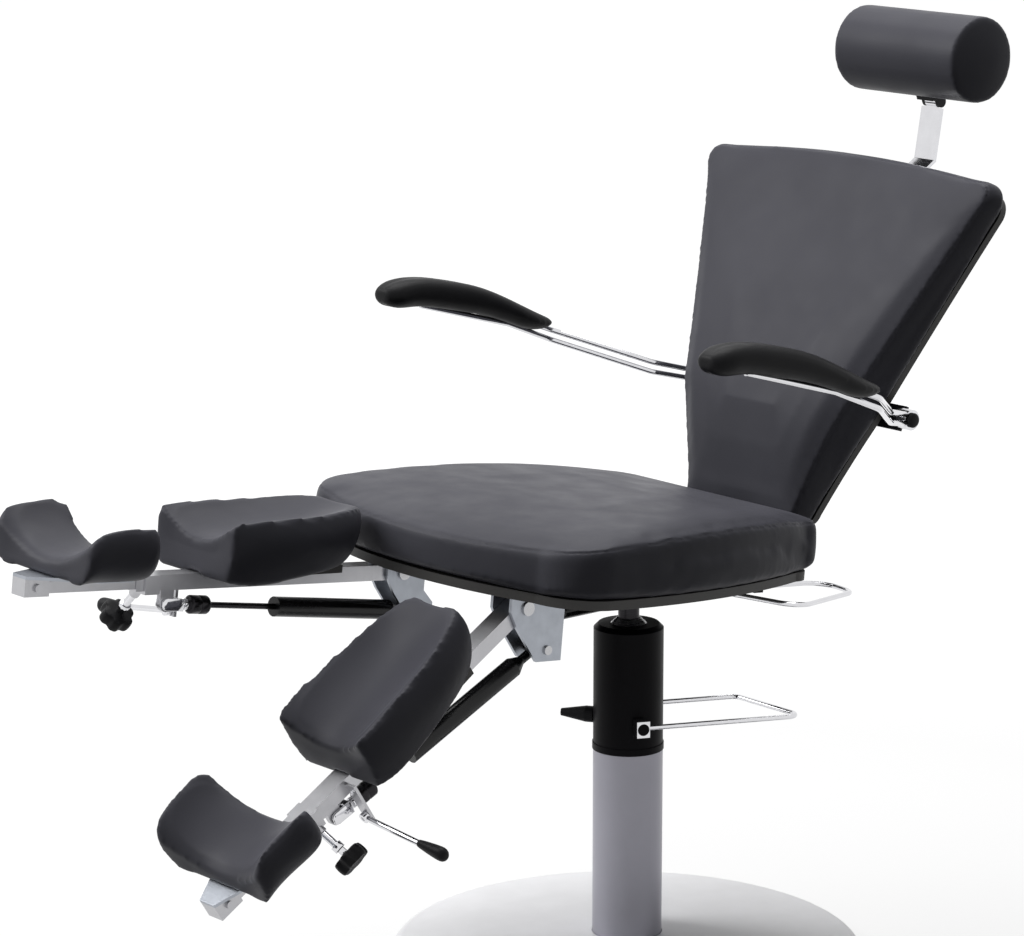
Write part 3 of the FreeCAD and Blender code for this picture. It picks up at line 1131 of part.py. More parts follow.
    lever_turn = Rotation(Vector(0, 1, 0), sign * (90 + S.lever_slope))
    lever_root = Vector(sign * S.lever_x_root, -S.lever_s - S.lever_eye / 2, -S.lever_n)
    rod = cylinder("lever_wire", "lever_reach - lever_x_root", Placement(lever_root, lever_turn))
    grip = doc.addObject("Part::Cone", "Grip")
    bind(grip, "Radius1", "lever_wire")
    bind(grip, "Radius2", "grip_radius")
    bind(grip, "Height", "grip_length")
    grip.Placement = Placement(lever_root + lever_turn.multVec(
        Vector(0, 0, S.lever_reach - S.lever_x_root)), lever_turn)
    lever_hub = cylinder("lever_eye", "lever_eye",
                         (f"{sign} * lever_x_root", "-lever_s - lever_eye", "-lever_n"), "y")
    lever_bore = cylinder("lever_pin + pin_gap", "4 * lever_eye",
                          (f"{sign} * lever_x_root", "-lever_s - 2 * lever_eye", "-lever_n"), "y")
    keep(cut(fuse([rod, grip, lever_hub]), [lever_bore]), f"leg_lever_{name}", leg_frame)

    slide_half = "(tube_half_width - tube_wall - inner_gap)"
    slide_tall = "(tube_half_height - tube_wall - inner_gap)"
    inner = box(f"2 * {slide_half}", "inner_end - inner_start", f"2 * {slide_tall}",
                ("0", "-inner_end", f"-{slide_tall}"))
    inside = box(f"2 * ({slide_half} - inner_wall)", "inner_end - inner_start + 2 * inner_wall",
                 f"2 * ({slide_tall} - inner_wall)",
                 ("0", "-inner_end + inner_wall", f"-{slide_tall} + inner_wall"))
    tip = box("2 * tip_half_width", "tip_length", "2 * tip_half_height",
              ("0", "-inner_end - tip_length / 2", "-tip_half_height"))
    bolt = cylinder("tip_bolt", "2 * (tip_half_width + tip_bolt_head)",
                    ("-tip_half_width - tip_bolt_head", "-inner_end", "0"), "x")
    keep(fuse([cut(inner, [inside]), tip, bolt]), f"leg_slide_{name}", slide_frame)

    heel_plate = new_body()
    near_s = "(heel_start + ear_thick)"
    far_s = "(inner_end + tip_length / 2)"
    pad(heel_plate, outline_sketch(heel_plate, "XY_Plane", [
        ("-heel_plate_half", f"-{near_s}"), ("heel_plate_half", f"-{near_s}"),
        ("heel_plate_half", "-heel_start - heel_length / 2"), ("tip_half_width", f"-{far_s}"),
        ("-tip_half_width", f"-{far_s}"), ("-heel_plate_half", "-heel_start - heel_length / 2")],
        "tip_half_height"), "heel_plate_thick", False)
    keep(heel_plate, f"heel_plate_{name}", slide_frame)

    low = S.tip_half_height + S.heel_plate_thick
    heel_stations = [(S.heel_start + along * S.heel_length, base * S.heel_base_half,
                      side * S.heel_half, side * S.heel_half * heel_crest_share, low, top * S.heel_top,
                      dip * top * S.heel_dip)
                     for along, base, side, top, dip in HEEL_SHARES]
    feature(channel_loft(heel_stations), f"heel_cup_{name}", slide_frame)

    knob_start = Vector(0, -S.knob_s, 0) + boss_way * (S.boss_end + S.knob_seat_gap)
    star_knob(f"leg_knob_{name}", leg_frame.multiply(Placement(knob_start, knob_turn)),
              "(stem_end - boss_end)")

    lug_spot = leg_frame.multVec(Vector(0, -S.lug_s, -S.lug_n))
    along = Vector(0, lug_spot.y - spring_top.y, lug_spot.z - spring_top.z)
    gas_spring(f"leg_spring_cylinder_{name}", f"leg_spring_rod_{name}",
               spring_frame(spring_top, lug_spot, leg_x), along.Length, "cylinder_radius",
               "cylinder_start", "cylinder_end", "(cylinder_end - rod_inside)",
               "tube_half_width")

doc.recompute()
problems = []
for obj in doc.Objects:
    if {"Invalid", "Error"} & set(obj.State):
        problems.append(f"{obj.Label}: {obj.State}")
for obj in kept:
    if obj.Shape.isNull() or not obj.Shape.isValid():
        problems.append(f"{obj.Label}: bad shape")
if problems:
    raise RuntimeError("; ".join(problems))
os.makedirs("parts", exist_ok=True)
for obj in kept:
    obj.Shape.exportStep(f"parts/{obj.Label}.step")
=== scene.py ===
import logging
from dataclasses import dataclass, field
from enum import Enum
from math import cos, radians, sin

import bmesh
import bpy
import numpy as np
from mathutils import Matrix, Vector


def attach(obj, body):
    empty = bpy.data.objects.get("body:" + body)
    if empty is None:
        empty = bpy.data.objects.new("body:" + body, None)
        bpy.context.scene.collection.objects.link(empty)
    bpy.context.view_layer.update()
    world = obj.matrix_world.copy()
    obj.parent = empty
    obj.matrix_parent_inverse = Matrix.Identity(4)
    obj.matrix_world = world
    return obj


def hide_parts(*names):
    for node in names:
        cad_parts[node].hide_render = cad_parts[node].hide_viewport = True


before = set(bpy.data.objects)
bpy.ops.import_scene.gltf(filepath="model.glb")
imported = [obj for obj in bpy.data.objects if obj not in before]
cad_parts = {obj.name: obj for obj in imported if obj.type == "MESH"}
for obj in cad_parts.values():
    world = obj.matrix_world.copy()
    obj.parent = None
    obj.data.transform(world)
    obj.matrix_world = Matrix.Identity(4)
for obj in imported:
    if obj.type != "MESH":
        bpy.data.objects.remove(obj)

logging.basicConfig(level=logging.INFO, format="%(message)s")
LOG = logging.getLogger("podiatry_chair")
MM = 0.001
MERGE_WITHIN = 0.02

class Side(Enum):
    """The sitter's left leg rest is lowered, the right one is raised."""

    LEFT = "left"
    RIGHT = "right"


class Grain(Enum):
    """Which way a metal surface was brushed."""

    ALONG_X = (1.0, 0.02, 0.02)
    ALONG_Y = (0.02, 1.0, 0.02)
    ALONG_Z = (0.02, 0.02, 1.0)


def linear(colour: str) -> tuple[float, float, float, float]:
    """Turns an sRGB hex colour into linear light.

    Args:
        colour: six hex digits after a hash.

    Returns:
        Linear red, green, blue and an alpha of 1.
    """
    parts = [int(colour[i:i + 2], 16) / 255 for i in (1, 3, 5)]
    bright = [c / 12.92 if c <= 0.04045 else ((c + 0.055) / 1.055) ** 2.4 for c in parts]
    return (bright[0], bright[1], bright[2], 1.0)


def add_node(tree: bpy.types.NodeTree, kind: str, links: dict | None = None,
             **settings: object) -> bpy.types.Node:
    """Adds a shader node with its settings and links.

    Args:
        tree: the material's node tree.
        kind: the node's type name without the ShaderNode prefix.
        links: input name or number to an output socket.
        settings: node properties, or input values where no property has that name.

    Returns:
        The new node.
    """
    node = tree.nodes.new("ShaderNode" + kind)
    for name, value in settings.items():
        if hasattr(node, name):
            setattr(node, name, value)
        else:
            node.inputs[name.replace("_", " ")].default_value = value
    for name, socket in (links or {}).items():
        tree.links.new(socket, node.inputs[name])
    return node


def new_material(name: str) -> tuple[bpy.types.Material, bpy.types.NodeTree, bpy.types.Node]:
    """Makes an empty material.

    Args:
        name: what the finish is.

    Returns:
        The material, its tree and its Principled shader.
    """
    material = bpy.data.materials.new(name)
    material.use_nodes = True
    tree = material.node_tree
    tree.nodes.clear()
    shader = add_node(tree, "BsdfPrincipled")
    add_node(tree, "OutputMaterial", {"Surface": shader.outputs["BSDF"]})
    return material, tree, shader


def spread(tree: bpy.types.NodeTree, source: bpy.types.NodeSocket, low: float, high: float,
           from_low: float = 0.3, from_high: float = 0.7) -> bpy.types.NodeSocket:
    """Maps a pattern's middle range onto a range of values.

    Args:
        tree: the material's node tree.
        source: the pattern.
        low: the value at from_low.
        high: the value at from_high.
        from_low: lower end of the pattern's range.
        from_high: upper end of the pattern's range.

    Returns:
        The mapped value's socket.
    """
    node = add_node(tree, "MapRange", {0: source})
    for i, value in enumerate((from_low, from_high, low, high), start=1):
        node.inputs[i].default_value = value
    return node.outputs[0]


@dataclass(frozen=True)
class CoatedVinyl:
    """Calendered PVC upholstery: a fine embossed grain, a satin top coat and dull creases."""

    name: str
    colour: str
    worn: str
    grain_mm: float = 1.6
    roughness: float = 0.42

    def build(self) -> bpy.types.Material:
        """Returns the vinyl's material."""
        material, tree, shader = new_material(self.name)
        place = add_node(tree, "TexCoord").outputs["Object"]
        # Pebble grain of about 1.6 mm, coarser than the real 0.8 mm so that it shows
        grain = add_node(tree, "TexVoronoi", {"Vector": place}, feature="SMOOTH_F1",
                         Scale=1 / (self.grain_mm * MM), Smoothness=0.6)
        pores = add_node(tree, "TexNoise", {"Vector": place}, Scale=1 / (0.5 * MM), Detail=2.0)
        drift = add_node(tree, "TexNoise", {"Vector": place}, Scale=1 / (140 * MM), Detail=3.0)
        rub = add_node(tree, "TexNoise", {"Vector": place}, Scale=1 / (45 * MM), Detail=5.0)
        mixed = add_node(tree, "Mix", {"Factor": spread(tree, drift.outputs[0], 0.0, 1.0)},
                         data_type="RGBA")
        mixed.inputs["A"].default_value = linear(self.colour)
        mixed.inputs["B"].default_value = linear(self.worn)
        tree.links.new(mixed.outputs["Result"], shader.inputs["Base Color"])
        tree.links.new(spread(tree, rub.outputs[0], self.roughness - 0.05,
                              self.roughness + 0.07), shader.inputs["Roughness"])
        coarse = add_node(tree, "Bump", {"Height": grain.outputs["Distance"]}, Strength=0.35,
                          Distance=0.12 * MM)
        fine = add_node(tree, "Bump", {"Height": pores.outputs[0], "Normal": coarse.outputs[0]},
                        Strength=0.25, Distance=0.05 * MM)
        tree.links.new(fine.outputs[0], shader.inputs["Normal"])
        shader.inputs["IOR"].default_value = 1.53
        shader.inputs["Specular IOR Level"].default_value = 0.07
        return material


@dataclass(frozen=True)
class PowderCoat:
    """Baked polyester powder on steel: an even colour with a slight orange peel."""

    name: str
    colour: str
    roughness: float = 0.38
    peel_mm: float = 2.2
    metallic: float = 0.0
    speck: float = 0.04
    gloss: float = 0.4

    def build(self) -> bpy.types.Material:
        """Returns the coating's material."""
        material, tree, shader = new_material(self.name)
        place = add_node(tree, "TexCoord").outputs["Object"]
        peel = add_node(tree, "TexNoise", {"Vector": place}, Scale=1 / (self.peel_mm * MM),
                        Detail=2.0)
        dust = add_node(tree, "TexNoise", {"Vector": place}, Scale=1 / (60 * MM), Detail=4.0)
        shade = add_node(tree, "HueSaturation", {
            "Value": spread(tree, dust.outputs[0], 1 - self.speck, 1 + self.speck)})
        shade.inputs["Color"].default_value = linear(self.colour)
        tree.links.new(shade.outputs[0], shader.inputs["Base Color"])
        tree.links.new(spread(tree, dust.outputs[0], self.roughness - 0.04,
                              self.roughness + 0.06), shader.inputs["Roughness"])
        bump = add_node(tree, "Bump", {"Height": peel.outputs[0]}, Strength=0.12,
                        Distance=0.08 * MM)
        tree.links.new(bump.outputs[0], shader.inputs["Normal"])
        shader.inputs["Metallic"].default_value = self.metallic
        shader.inputs["Specular IOR Level"].default_value = self.gloss
        return material


@dataclass(frozen=True)
class WorkedMetal:
    """Metal with the marks of its making: bright chrome, brushed aluminium or zinc plate."""

    name: str
    colour: str
    roughness: float
    grain: Grain = Grain.ALONG_Z
    stroke_mm: float = 0.6
    depth: float = 0.1
    spangle: float = 0.03

    def build(self) -> bpy.types.Material:
        """Returns the metal's material."""
        material, tree, shader = new_material(self.name)
        place = add_node(tree, "TexCoord").outputs["Object"]
        turned = add_node(tree, "Mapping", {"Vector": place})
        turned.inputs["Scale"].default_value = self.grain.value
        strokes = add_node(tree, "TexNoise", {"Vector": turned.outputs[0]},
                           Scale=1 / (self.stroke_mm * MM), Detail=3.0)
        cloud = add_node(tree, "TexNoise", {"Vector": place}, Scale=1 / (18 * MM), Detail=4.0)
        shade = add_node(tree, "HueSaturation", {
            "Value": spread(tree, cloud.outputs[0], 1 - self.spangle, 1 + self.spangle)})
        shade.inputs["Color"].default_value = linear(self.colour)
        tree.links.new(shade.outputs[0], shader.inputs["Base Color"])
        tree.links.new(spread(tree, strokes.outputs[0], max(0.03, self.roughness - 0.05),
                              self.roughness + 0.05), shader.inputs["Roughness"])
        bump = add_node(tree, "Bump", {"Height": strokes.outputs[0]}, Strength=self.depth,
                        Distance=0.03 * MM)
        tree.links.new(bump.outputs[0], shader.inputs["Normal"])
        shader.inputs["Metallic"].default_value = 1.0
        return material


@dataclass(frozen=True)
class MouldedPlastic:
    """Injection moulded nylon or foamed skin: spark-eroded texture and a soft gloss."""

    name: str
    colour: str
    roughness: float = 0.48
    texture_mm: float = 0.9
    depth: float = 0.2

    def build(self) -> bpy.types.Material:
        """Returns the plastic's material."""
        material, tree, shader = new_material(self.name)
        place = add_node(tree, "TexCoord").outputs["Object"]
        spark = add_node(tree, "TexNoise", {"Vector": place}, Scale=1 / (self.texture_mm * MM),
                         Detail=3.0)
        flow = add_node(tree, "TexNoise", {"Vector": place}, Scale=1 / (25 * MM), Detail=3.0)
        shade = add_node(tree, "HueSaturation", {
            "Value": spread(tree, flow.outputs[0], 0.93, 1.07)})
        shade.inputs["Color"].default_value = linear(self.colour)
        tree.links.new(shade.outputs[0], shader.inputs["Base Color"])
        tree.links.new(spread(tree, flow.outputs[0], self.roughness - 0.05,
                              self.roughness + 0.07), shader.inputs["Roughness"])
        bump = add_node(tree, "Bump", {"Height": spark.outputs[0]}, Strength=self.depth,
                        Distance=0.06 * MM)
        tree.links.new(bump.outputs[0], shader.inputs["Normal"])
        shader.inputs["IOR"].default_value = 1.53
        shader.inputs["Specular IOR Level"].default_value = 0.1
        return material


@dataclass(frozen=True)
class Plywood:
    """Birch plywood under a thin black stain: long straight grain that still shows."""

    name: str
    colour: str
    grain_colour: str

    def build(self) -> bpy.types.Material:
        """Returns the board's material."""
        material, tree, shader = new_material(self.name)
        place = add_node(tree, "TexCoord").outputs["Object"]
        turned = add_node(tree, "Mapping", {"Vector": place})
        turned.inputs["Scale"].default_value = (1.0, 0.08, 1.0)
        # Growth lines about 3 mm apart
        grain = add_node(tree, "TexNoise", {"Vector": turned.outputs[0]}, Scale=1 / (3 * MM),
                         Detail=5.0)
        mixed = add_node(tree, "Mix", {"Factor": spread(tree, grain.outputs[0], 0.0, 1.0)},
                         data_type="RGBA")
        mixed.inputs["A"].default_value = linear(self.colour)
        mixed.inputs["B"].default_value = linear(self.grain_colour)
        tree.links.new(mixed.outputs["Result"], shader.inputs["Base Color"])
        bump = add_node(tree, "Bump", {"Height": grain.outputs[0]}, Strength=0.2,
                        Distance=0.15 * MM)
        tree.links.new(bump.outputs[0], shader.inputs["Normal"])
        shader.inputs["Roughness"].default_value = 0.6
        return material


@dataclass
class Finishes:
    """Every finish of the chair, built once."""

    vinyl: bpy.types.Material = field(init=False)
    skin: bpy.types.Material = field(init=False)
    plastic: bpy.types.Material = field(init=False)
    rubber: bpy.types.Material = field(init=False)
    cover: bpy.types.Material = field(init=False)
    column: bpy.types.Material = field(init=False)
    collar: bpy.types.Material = field(init=False)
    frame_black: bpy.types.Material = field(init=False)
    strut: bpy.types.Material = field(init=False)
    nitride: bpy.types.Material = field(init=False)
    chrome: bpy.types.Material = field(init=False)
    bracket: bpy.types.Material = field(init=False)
    tube: bpy.types.Material = field(init=False)
    zinc: bpy.types.Material = field(init=False)
    iron: bpy.types.Material = field(init=False)
    board: bpy.types.Material = field(init=False)

    def __post_init__(self) -> None:
        """Builds the materials."""
        # Charcoal leathercloth: a faint sheen on the tops, near black on the sides
        self.vinyl = CoatedVinyl("vinyl_charcoal", "#404046", "#46464c").build()
        # Self-skinned foam of the arm pads: dull black, softly lit along its edge
        self.skin = MouldedPlastic("polyurethane_skin_black", "#151517", 0.46, 1.2, 0.25).build()
        self.plastic = MouldedPlastic("nylon_black", "#161618", 0.45).build()
        self.rubber = MouldedPlastic("rubber_black", "#1d1d1e", 0.75, 1.4, 0.35).build()
        # Pale sprayed cover of the base, and the silver-grey lacquer of the column
        self.cover = PowderCoat("powder_pale_grey", "#e6e6e8", 0.35).build()
        self.column = PowderCoat("lacquer_silver_grey", "#aaa9b3", 0.36, metallic=0.45).build()
        # Blacks of the pump, the frame and the gas springs, from satin to gloss
        self.collar = PowderCoat("powder_black_satin", "#0f0e11", 0.4, 1.6, gloss=0.06).build()
        self.frame_black = PowderCoat("powder_black", "#1d1d20", 0.5, 1.4, gloss=0.2).build()
        self.strut = PowderCoat("lacquer_black_gloss", "#121214", 0.24, 4.0, gloss=0.3).build()
        # Salt-bath nitrided rods: black with a metal glint
        self.nitride = WorkedMetal("steel_nitrided_black", "#2c2b2d", 0.3).build()
        # Plated wire and fittings mirror the white room
        self.chrome = WorkedMetal("chrome_bright", "#d9d9dc", 0.08, depth=0.03).build()
        # Zinc plate is blue-grey and a little cloudy, anodised tube silkier and paler
        self.bracket = WorkedMetal("steel_zinc_plated", "#9fa3aa", 0.36, Grain.ALONG_Y,
                                   spangle=0.07).build()
        self.tube = WorkedMetal("aluminium_anodised", "#b4b4b7", 0.34, Grain.ALONG_Y).build()
        self.zinc = WorkedMetal("bolts_zinc_bright", "#b9b9bb", 0.28).build()
        # Primed casting and stained board: rough and dark, hardly seen
        self.iron = MouldedPlastic("iron_cast_primed", "#2b2b2b", 0.7, 1.8, 0.5).build()
        self.board = Plywood("plywood_black_stain", "#1a1918", "#242220").build()


def dress(material: bpy.types.Material, *nodes: str) -> None:
    """Gives CAD nodes a finish.

    Args:
        material: the finish.
        nodes: names of the nodes.
    """
    for name in nodes:
        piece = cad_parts[name]
        for place in piece.material_slots:
            place.material = material
        LOG.info("%s: %s", name, material.name)


def only(piece: bpy.types.Object) -> None:
    """Leaves one object selected and active."""
    bpy.ops.object.select_all(action="DESELECT")
    piece.select_set(True)
    bpy.context.view_layer.objects.active = piece


def apply_modifiers(piece: bpy.types.Object) -> None:
    """Applies every modifier of a piece in order."""
    only(piece)
    for modifier in list(piece.modifiers):
        bpy.ops.object.modifier_apply(modifier=modifier.name)


@dataclass
class Cushion:
    """A foam form under vinyl, blown up a little as cloth so that its cover pulls tight."""

    node: str
    body: str
    look: bpy.types.Material
    origin: tuple[float, float, float]
    turn: float
    up: tuple[float, float, float] = (0.0, 0.0, 1.0)
    held_below: float = 1.0
    voxel: float = 5.0
    pressure: float = 4.0
    cap: float = 5.0
    start_in: float = 1.0
    softening: int = 2
    evening: int = 30
    seam_depth: float = 1.2
    seam_share: float = 0.6
    seam_width: float = 0.1
    seam_above: float = 8.0
    inner_reach: float = 12.0
    last_frame: int = 20
    fill: float = 0.75

    def build(self) -> bpy.types.Object:
        """Makes the cushion from its solid and dresses it.

        Returns:
            The finished cushion.
        """
        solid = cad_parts[self.node]
        piece = bpy.data.objects.new(self.node + "_cushion", solid.data.copy())
        bpy.context.scene.collection.objects.link(piece)
        only(piece)
        bpy.ops.object.mode_set(mode="EDIT")
        bpy.ops.mesh.select_all(action="SELECT")
        bpy.ops.mesh.remove_doubles(threshold=MERGE_WITHIN * MM)
        bpy.ops.transform.shrink_fatten(value=-self.start_in * MM)
        bpy.ops.object.mode_set(mode="OBJECT")
        remesh = piece.modifiers.new("voxels", "REMESH")
        remesh.mode = "VOXEL"
        remesh.voxel_size = self.voxel * MM
        smooth = piece.modifiers.new("even", "SMOOTH")
        smooth.factor = 0.5
        smooth.iterations = self.softening
        apply_modifiers(piece)
        self.inflate(piece)
        finer = piece.modifiers.new("finer", "SUBSURF")
        finer.levels = 1
        finer.render_levels = 1
        apply_modifiers(piece)
        self.sew(piece)
        only(piece)
        bpy.ops.object.shade_smooth()
        piece.data.materials.clear()
        piece.data.materials.append(self.look)
        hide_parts(self.node)
        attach(piece, self.body)
        LOG.info("%s: %d faces", piece.name, len(piece.data.polygons))
        return piece

    def local(self, point: Vector) -> Vector:
        """Turns a point of the chair into the cushion's own frame, in millimetres."""
        moved = (point - Vector(self.origin) * MM) / MM
        return Matrix.Rotation(-radians(self.turn), 3, "X") @ moved

    def inflate(self, piece: bpy.types.Object) -> None:
        """Blows the cover up, holding what lies on the board.

        Args:
            piece: the remeshed form.
        """
        before = [v.co.copy() for v in piece.data.vertices]
        up = Vector(self.up)
        lying = [i for i, spot in enumerate(before) if self.local(spot).dot(up) < self.held_below]
        held = piece.vertex_groups.new(name="held")
        held.add(lying, 1.0, "REPLACE")
        cloth = piece.modifiers.new("cover", "CLOTH")
        cloth.settings.use_pressure = True
        cloth.settings.uniform_pressure_force = self.pressure
        cloth.settings.effector_weights.gravity = 0.0
        cloth.settings.vertex_group_mass = "held"
        cloth.point_cache.frame_start = 1
        cloth.point_cache.frame_end = self.last_frame
        for number in range(1, self.last_frame + 1):
            bpy.context.scene.frame_set(number)
        only(piece)
        bpy.ops.object.modifier_apply(modifier=cloth.name)
        bpy.context.scene.frame_set(1)
        moves = self.evened(piece, [v.co - old for v, old in zip(piece.data.vertices, before)])
        for vertex, old, moved in zip(piece.data.vertices, before, moves):
            if moved.length > self.cap * MM:
                moved = moved.normalized() * self.cap * MM
            vertex.co = old + moved

    def evened(self, piece: bpy.types.Object, moves: list[Vector]) -> list[Vector]:
        """Shares each point's movement with its neighbours, as a tight cover shows no puckers.

        Args:
            piece: the cushion.
            moves: how far each point moved.

        Returns:
            The evened movements.
        """
        pairs = np.array([edge.vertices[:] for edge in piece.data.edges])
        shares = np.array([tuple(move) for move in moves])
        count = np.bincount(pairs.ravel(), minlength=len(shares))[:, None] + 1.0
        for _ in range(self.evening):
            total = shares.copy()
            np.add.at(total, pairs[:, 0], shares[pairs[:, 1]])
            np.add.at(total, pairs[:, 1], shares[pairs[:, 0]])
            shares = total / count
        return [Vector(share) for share in shares]

    def sew(self, piece: bpy.types.Object) -> None:
        """Draws the seam in where the top panel turns into the side band.

        Args:
            piece: the smoothed cushion.
        """
        turn = Matrix.Rotation(-radians(self.turn), 3, "X")
        up = Vector(self.up)
        normals = [turn @ v.normal for v in piece.data.vertices]
        for vertex, normal in zip(piece.data.vertices, normals):
            spot = self.local(vertex.co)
            inner = normal.x * spot.x < -self.inner_reach
            if inner or spot.dot(up) < self.held_below + self.seam_above:
                continue
            off = (normal.dot(up) - self.seam_share) / self.seam_width
            if abs(off) < 1.0:
                vertex.co -= vertex.normal * self.seam_depth * MM * (1 - off * off) ** 2


def lathe(name: str, stations: list[tuple[float, float]],
          sides: int = 32) -> bpy.types.Object:
    """Turns a piece about Z from a circle that is extruded and resized from step to step.

    Args:
        name: the piece's name.
        stations: height and radius of each step, in millimetres.
        sides: points round the circle.

    Returns:
        The new piece at the origin.
    """
    bpy.ops.object.select_all(action="DESELECT")
    height, radius = stations[0]
    bpy.ops.mesh.primitive_circle_add(vertices=sides, radius=radius * MM, fill_type="NGON",
                                      location=(0.0, 0.0, height * MM))
    piece = bpy.context.object
    piece.name = name
    bpy.ops.object.transform_apply(location=True)
    bpy.ops.object.mode_set(mode="EDIT")
    bpy.ops.mesh.select_all(action="SELECT")
    for next_height, next_radius in stations[1:]:
        rise = (0.0, 0.0, (next_height - height) * MM)
        bpy.ops.mesh.extrude_region_move(TRANSFORM_OT_translate={"value": rise})
        share = next_radius / radius
        bpy.ops.transform.resize(value=(share, share, 1.0),
                                 center_override=(0.0, 0.0, next_height * MM))
        height, radius = next_height, next_radius
    bpy.ops.mesh.select_all(action="SELECT")
    bpy.ops.mesh.normals_make_consistent(inside=False)
    bpy.ops.object.mode_set(mode="OBJECT")
    return piece


def bevel(piece: bpy.types.Object, width: float, segments: int = 2, angle: float = 35.0) -> None:
    """Rounds a piece's sharp edges by a width in millimetres."""
    modifier = piece.modifiers.new("edges", "BEVEL")
    modifier.width = width * MM
    modifier.segments = segments
    modifier.limit_method = "ANGLE"
    modifier.angle_limit = radians(angle)
    apply_modifiers(piece)


def settle(piece: bpy.types.Object, place: Matrix, look: bpy.types.Material, body: str,
           angle: float = 40.0) -> bpy.types.Object:
    """Puts a finished piece in its place, dresses it and lets it ride on a body.

    Args:
        piece: the finished piece, modelled at the origin.
        place: where it goes, in metres.
        look: its finish.
        body: the body that carries it.
        angle: edges flatter than this are shaded smooth, in degrees.

    Returns:
        The piece.
    """
    only(piece)
    piece.matrix_world = place
    bpy.ops.object.transform_apply(location=True, rotation=True, scale=True)
    bpy.ops.object.shade_smooth_by_angle(angle=radians(angle))
    piece.data.materials.clear()
    piece.data.materials.append(look)
    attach(piece, body)
    LOG.info("%s: rides on %s", piece.name, body)
    return piece


def stand(origin: tuple[float, float, float], turn: float,
          spot: tuple[float, float, float] = (0.0, 0.0, 0.0),
          way: tuple[float, float, float] = (0.0, 0.0, 1.0)) -> Matrix:
    """Makes the place of a piece that stands in a tilted frame.

    Args:
        origin: the frame's origin in millimetres.
        turn: the frame's turn about X in degrees.
        spot: the piece's origin in that frame, in millimetres.
        way: where the piece's own Z points in that frame.

    Returns:
        The place in metres.
    """
    tilted = Matrix.Translation(Vector(origin) * MM) @ Matrix.Rotation(radians(turn), 4, "X")
    facing = Vector(way).to_track_quat("Z", "Y").to_matrix().to_4x4()
    return tilted @ Matrix.Translation(Vector(spot) * MM) @ facing


@dataclass
class StarKnob:
    """A six-lobed clamping knob, moulded on a chromed stud."""

    radius: float = 19.5
    hollow: float = 14.5
    thick: float = 18.0
    lobes: int = 6
    # Each step's rise as a share of half the thickness, and the width it is resized by
    steps: tuple[tuple[float, float], ...] = ((0.18, 1.12), (1.0, 1.04), (0.82, 0.96),
                                              (0.1, 0.86))
    cap_share: float = 0.45
    cap_deep: float = 1.2

    def build(self, name: str) -> bpy.types.Object:
        """Models the knob's head about Z from 0 up.

        Args:
            name: the knob's name.

        Returns:
            The knob at the origin.
        """
        bpy.ops.object.select_all(action="DESELECT")
        bpy.ops.mesh.primitive_circle_add(vertices=self.lobes * 4, radius=self.radius * MM,
                                          fill_type="NGON")
        knob = bpy.context.object
        knob.name = name
        mesh = knob.data
        bpy.ops.object.mode_set(mode="EDIT")
        bpy.ops.mesh.select_all(action="DESELECT")
        bpy.ops.object.mode_set(mode="OBJECT")
        for vertex in mesh.vertices:
            angle = Vector(vertex.co.xy).angle_signed(Vector((1.0, 0.0)))
            vertex.select = cos(self.lobes * angle) < -0.5
        bpy.ops.object.mode_set(mode="EDIT")
        share = self.hollow / self.radius
        bpy.ops.transform.resize(value=(share, share, 1.0), center_override=(0.0, 0.0, 0.0))
        bpy.ops.mesh.select_all(action="SELECT")
        lift = 0.5 * self.thick * MM
        for rise, width in self.steps:
            step = (0.0, 0.0, lift * rise)
            bpy.ops.mesh.extrude_region_move(TRANSFORM_OT_translate={"value": step})
            bpy.ops.transform.resize(value=(width, width, 1.0), center_override=(0.0, 0.0, 0.0))
        bpy.ops.mesh.inset(thickness=self.hollow * self.cap_share * MM)
        bpy.ops.transform.translate(value=(0.0, 0.0, -self.cap_deep * MM))
        bpy.ops.mesh.select_all(action="SELECT")
        bpy.ops.mesh.normals_make_consistent(inside=False)
        bpy.ops.object.mode_set(mode="OBJECT")
        round_off = knob.modifiers.new("round", "SUBSURF")
        round_off.levels = 2
        round_off.render_levels = 2
        apply_modifiers(knob)
        return knob


# Where the seat, the back, the roll and the leg rests stand, in millimetres, and how far
# they are turned about X, in degrees
SEAT_ORIGIN = (0.0, 0.0, 572.0)
SEAT_TURN = -6.0
BACK_ORIGIN = (0.0, 195.2, 607.6)
BACK_TURN = -23.5
ROLL_ORIGIN = (0.0, 536.0, 1199.0)
LEG_ORIGINS = {Side.LEFT: (125.0, -299.744, 571.026), Side.RIGHT: (-125.0, -299.744, 571.026)}
LEG_TURNS = {Side.LEFT: 32.2, Side.RIGHT: -6.8}


